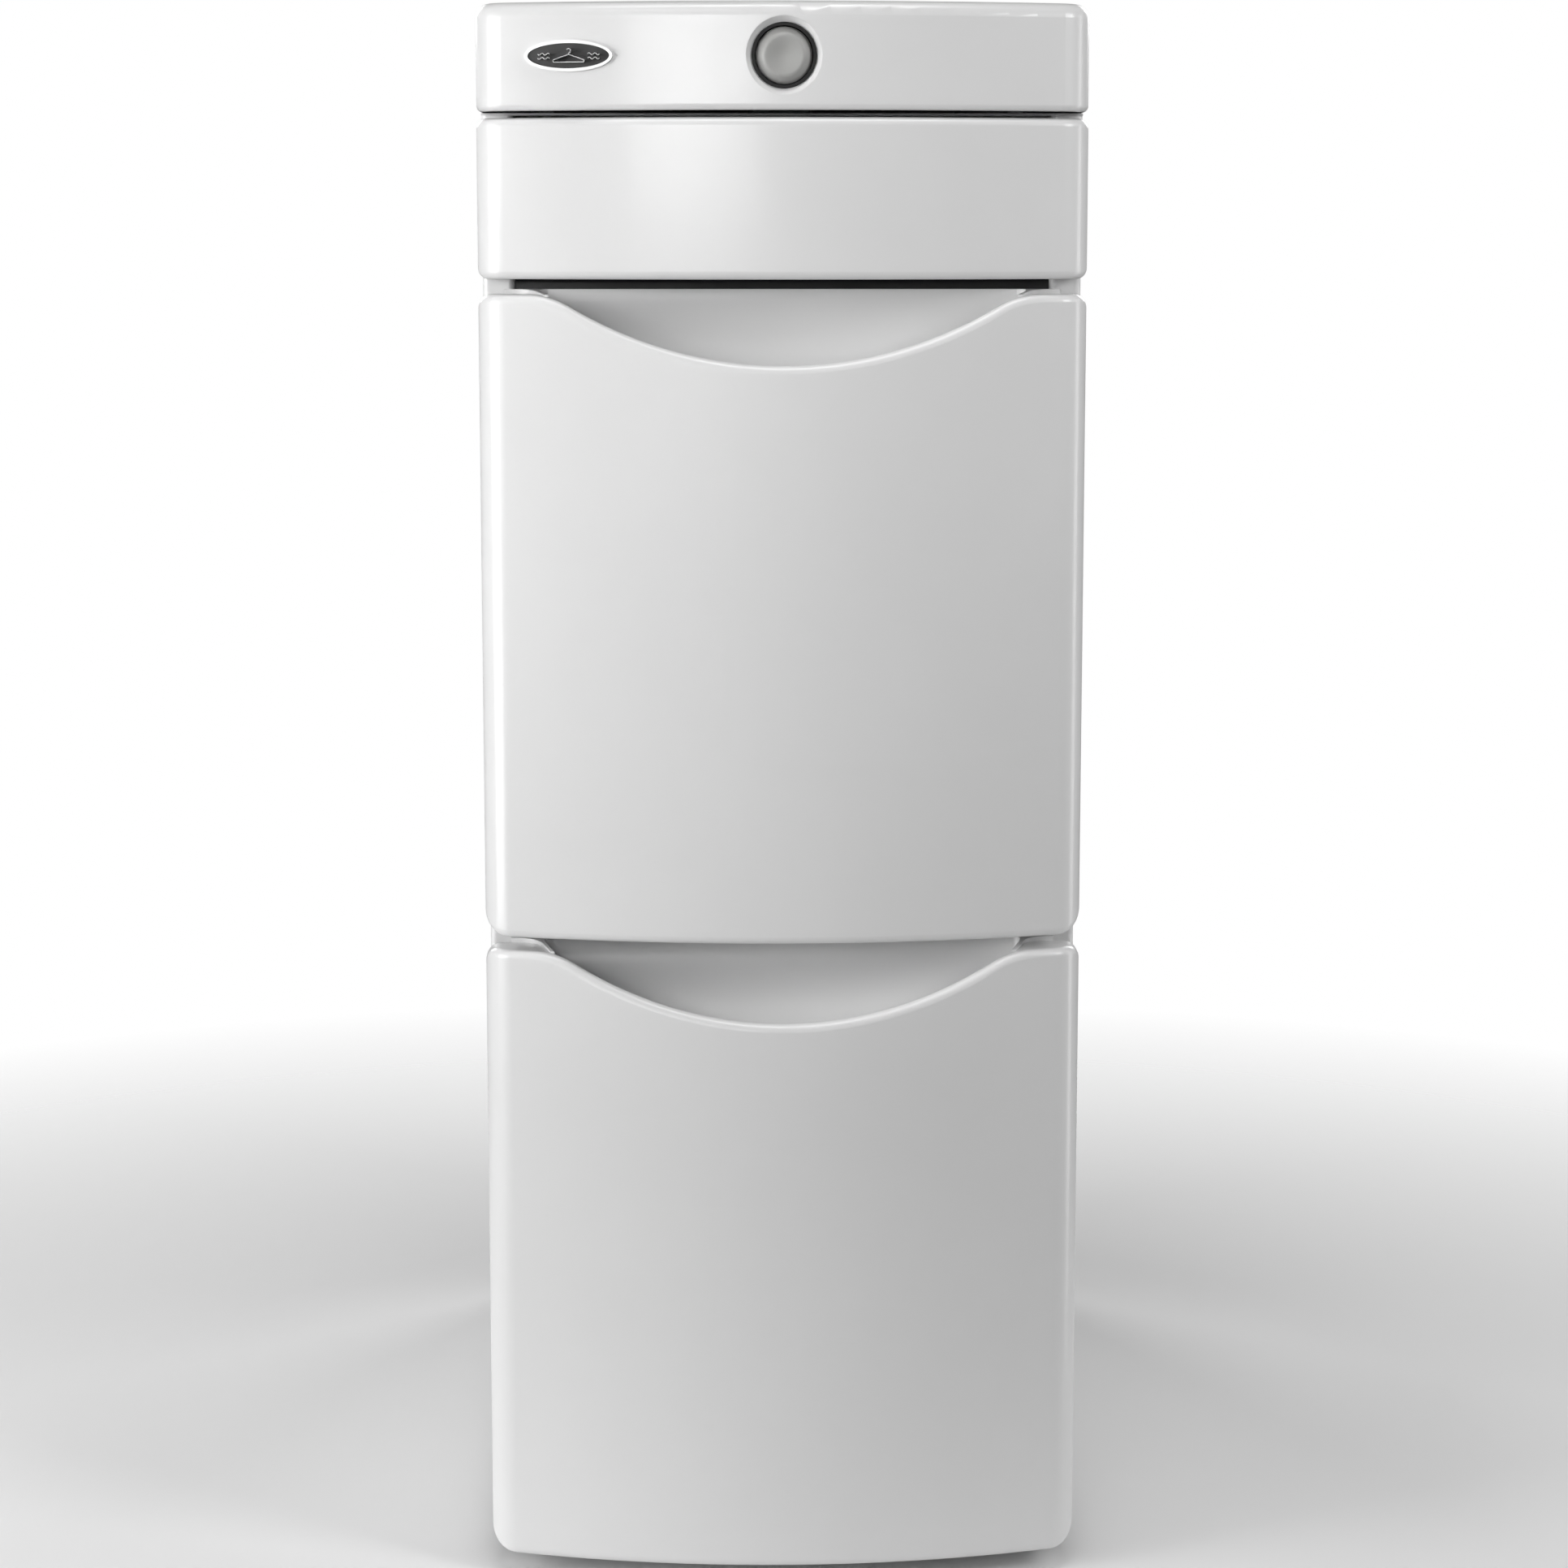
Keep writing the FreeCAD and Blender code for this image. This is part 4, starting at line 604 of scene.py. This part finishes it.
def raised_line(shape, points, width, base, proud, closed=False):
    """A low rounded bead along a line (x, z) on the bowed front."""
    count = len(points)
    rings = []
    for index, (x, z) in enumerate(points):
        before = points[(index - 1) % count] if closed or index else points[0]
        after = points[(index + 1) % count] if closed or index < count - 1 else points[-1]
        along = Vector((after[0] - before[0], after[1] - before[1])).normalized()
        side = Vector((-along.y, along.x))
        ring = []
        for across, rise in BEAD_SECTION:
            place = Vector((x, z)) + side * (across * width / 2)
            ring.append(shape.verts.new(
                (place.x, bow_y(place.x, base + rise * (proud - base)), place.y)))
        rings.append(ring)
    pairs = list(zip(rings, rings[1:])) + ([(rings[-1], rings[0])] if closed else [])
    for one, other in pairs:
        for step in range(len(BEAD_SECTION)):
            after = (step + 1) % len(BEAD_SECTION)
            shape.faces.new([one[step], one[after], other[after], other[step]])
    if not closed:
        shape.faces.new(rings[0])
        shape.faces.new(rings[-1])


def arc_points(centre, radius, start, end, steps):
    """Points of an arc, by its angles in degrees."""
    return [(centre[0] + radius * math.cos(math.radians(start + (end - start) * step / steps)),
             centre[1] + radius * math.sin(math.radians(start + (end - start) * step / steps)))
            for step in range(steps + 1)]


def badge_motif():
    """A generic motif on the badge: a garment hanger between ripples."""
    start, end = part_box("badge_plate")
    middle = Vector(((start.x + end.x) / 2, (start.z + end.z) / 2))
    half_wide, half_tall = (end.x - start.x) / 2, (end.z - start.z) / 2
    front = bow_y(middle.x, 0) - start.y
    proud = front + MOTIF_PROUD
    shape = bmesh.new()
    reach, drop = half_wide * HANGER_SHARE, half_tall * HANGER_SHARE
    shoulder = middle.y + HANGER_RISE
    hem = shoulder - drop * HANGER_SLOPE
    turn_height = hem - CORNER_DOWN
    triangle = ([(middle.x, shoulder), (middle.x + reach, hem)]
                + arc_points((middle.x + reach - CORNER_INWARD, turn_height),
                             HANGER_CORNER, 40, -90, 6)
                + arc_points((middle.x - reach + CORNER_INWARD, turn_height),
                             HANGER_CORNER, -90, -220, 6)
                + [(middle.x - reach, hem)])
    raised_line(shape, triangle, MOTIF_WIDTH, MOTIF_BASE, proud, closed=True)
    hook = ([(middle.x, shoulder), (middle.x, shoulder + HOOK_NECK)]
            + arc_points((middle.x, shoulder + HOOK_MIDDLE), HOOK_RADIUS, -90, 150, 12))
    raised_line(shape, hook, MOTIF_WIDTH, MOTIF_BASE, proud)
    for side in (-1, 1):
        for level in (-1, 1):
            height = middle.y - RIPPLE_DROP + level * RIPPLE_APART
            ripple = [(middle.x + side * (reach + RIPPLE_GAP + RIPPLE_LENGTH * step / RIPPLE_STEPS),
                       height + RIPPLE_HEIGHT * math.sin(4 * math.pi * step / RIPPLE_STEPS))
                      for step in range(RIPPLE_STEPS + 1)]
            raised_line(shape, ripple, MOTIF_WIDTH * RIPPLE_THIN, MOTIF_BASE, proud)
    new_piece("badge_motif", shape, "badge_chrome", "cabinet")


dress_frame()
knob()
screws()
for foot_corner in ("front_left", "front_right", "rear_left", "rear_right"):
    levelling_foot(foot_corner)
badge_motif()


# ---- stage ---------------------------------------------------------------------------------------

FLOOR_REACH = 3.0
FADE_START = 0.5
FADE_END = 1.5

# strengths of the even light on the object and of the ground that only the camera sees
SOFT_WORLD = 0.03
PLAIN_WORLD = 1.0


def stage():
    """A pale floor that fades into the plain white around it."""
    floor = bmesh.new()
    bmesh.ops.create_grid(floor, x_segments=8, y_segments=8, size=FLOOR_REACH)
    mesh = bpy.data.meshes.new("floor")
    floor.to_mesh(mesh)
    floor.free()
    plane = bpy.data.objects.new("floor", mesh)
    bpy.context.scene.collection.objects.link(plane)
    g = Graph("floor_paper")
    g.colour(g.mixed(g.noise(scale=2.5, detail=3, rough=0.5), grey(0.9), grey(0.87)))
    g.roughness(g.mapped(g.noise(scale=60, detail=3, rough=0.5), to_low=0.8, to_high=0.95))
    away = g.add("ShaderNodeVectorMath", operation="LENGTH")
    g.join(g.place, away.inputs[0])
    clear = g.add("ShaderNodeBsdfTransparent")
    blend = g.add("ShaderNodeMixShader")
    g.join(g.mapped(away.outputs["Value"], 0, 1, FADE_START, FADE_END), blend.inputs["Fac"])
    g.join(g.shader.outputs["BSDF"], blend.inputs[1])
    g.join(clear.outputs["BSDF"], blend.inputs[2])
    g.join(blend.outputs["Shader"], g.tree.nodes["Material Output"].inputs["Surface"])
    mesh.materials.append(g.material)


def area_light(name, place, target, size, watts, spread):
    """A soft rectangle of light aimed at a target. Its spread is in degrees."""
    data = bpy.data.lights.new(name, "AREA")
    data.shape = "RECTANGLE"
    data.size, data.size_y = size
    data.energy = watts
    data.spread = math.radians(spread)
    lamp = bpy.data.objects.new(name, data)
    bpy.context.scene.collection.objects.link(lamp)
    lamp.visible_camera = False
    lamp.location = place
    lamp.rotation_euler = (Vector(target) - Vector(place)).to_track_quat("-Z", "Y").to_euler()


def lights():
    """A weak even light, a plain white ground behind everything, and the lamps."""
    world = bpy.data.worlds.new("studio")
    world.use_nodes = True
    tree = world.node_tree
    soft = tree.nodes["Background"]
    soft.inputs["Color"].default_value = (1, 1, 1, 1)
    soft.inputs["Strength"].default_value = SOFT_WORLD
    plain = tree.nodes.new("ShaderNodeBackground")
    plain.inputs["Color"].default_value = (1, 1, 1, 1)
    plain.inputs["Strength"].default_value = PLAIN_WORLD
    choice = tree.nodes.new("ShaderNodeMixShader")
    seen = tree.nodes.new("ShaderNodeLightPath")
    tree.links.new(seen.outputs["Is Camera Ray"], choice.inputs["Fac"])
    tree.links.new(soft.outputs["Background"], choice.inputs[1])
    tree.links.new(plain.outputs["Background"], choice.inputs[2])
    tree.links.new(choice.outputs["Shader"], tree.nodes["World Output"].inputs["Surface"])
    bpy.context.scene.world = world
    middle, face = (high.z + low.z) / 2, low.y
    # name, place, target, (width, height), watts, spread
    for row in (
        ("key_high", (-0.7, -2.6, 3.0), (-0.1, face, 1.35), (1.0, 0.7), 0.55, 60),
        ("fill_front", (-0.6, -3.2, 1.2), (0, face, 1.0), (1.0, 0.6), 0.9, 40),
        ("fill_left", (-2.0, -2.2, 1.3), (0, face, 1.05), (0.8, 0.8), 1.0, 50),
        ("fill_right", (1.8, -1.4, 1.6), (0.1, face, 0.9), (0.8, 0.8), 7.7, 120),
        ("left_box", (-1.7, -0.95, 0.7), (-0.1, face, middle), (0.9, 1.2), 14.8, 140),
        ("rim_right", (1.2, -0.2, 0.55), (0.19, -0.33, 0.55), (0.25, 1.5), 1.2, 100),
        ("edge_top", (0, -0.75, 2.9), (0, -0.4, middle), (1.4, 0.3), 2.0, 60),
        ("rear_left", (-1.5, 2.4, 1.7), (0, high.y, 0.5), (1.2, 1.2), 10, 110),
        ("rear_right", (1.5, 2.4, 1.7), (0, high.y, 0.5), (1.2, 1.2), 10, 110),
    ):
        area_light(*row)


def camera():
    """The camera at the photograph's viewing angle."""
    data = bpy.data.cameras.new("view")
    data.lens = CAMERA_LENS
    data.sensor_width = CAMERA_SENSOR
    eye = bpy.data.objects.new("view", data)
    bpy.context.scene.collection.objects.link(eye)
    eye.location = (CAMERA_SIDE, low.y - CAMERA_AHEAD, CAMERA_HEIGHT)
    eye.rotation_euler = (CAMERA_PITCH, 0, CAMERA_YAW)
    bpy.context.scene.camera = eye


stage()
lights()
camera()
bpy.context.scene.view_settings.view_transform = "Standard"
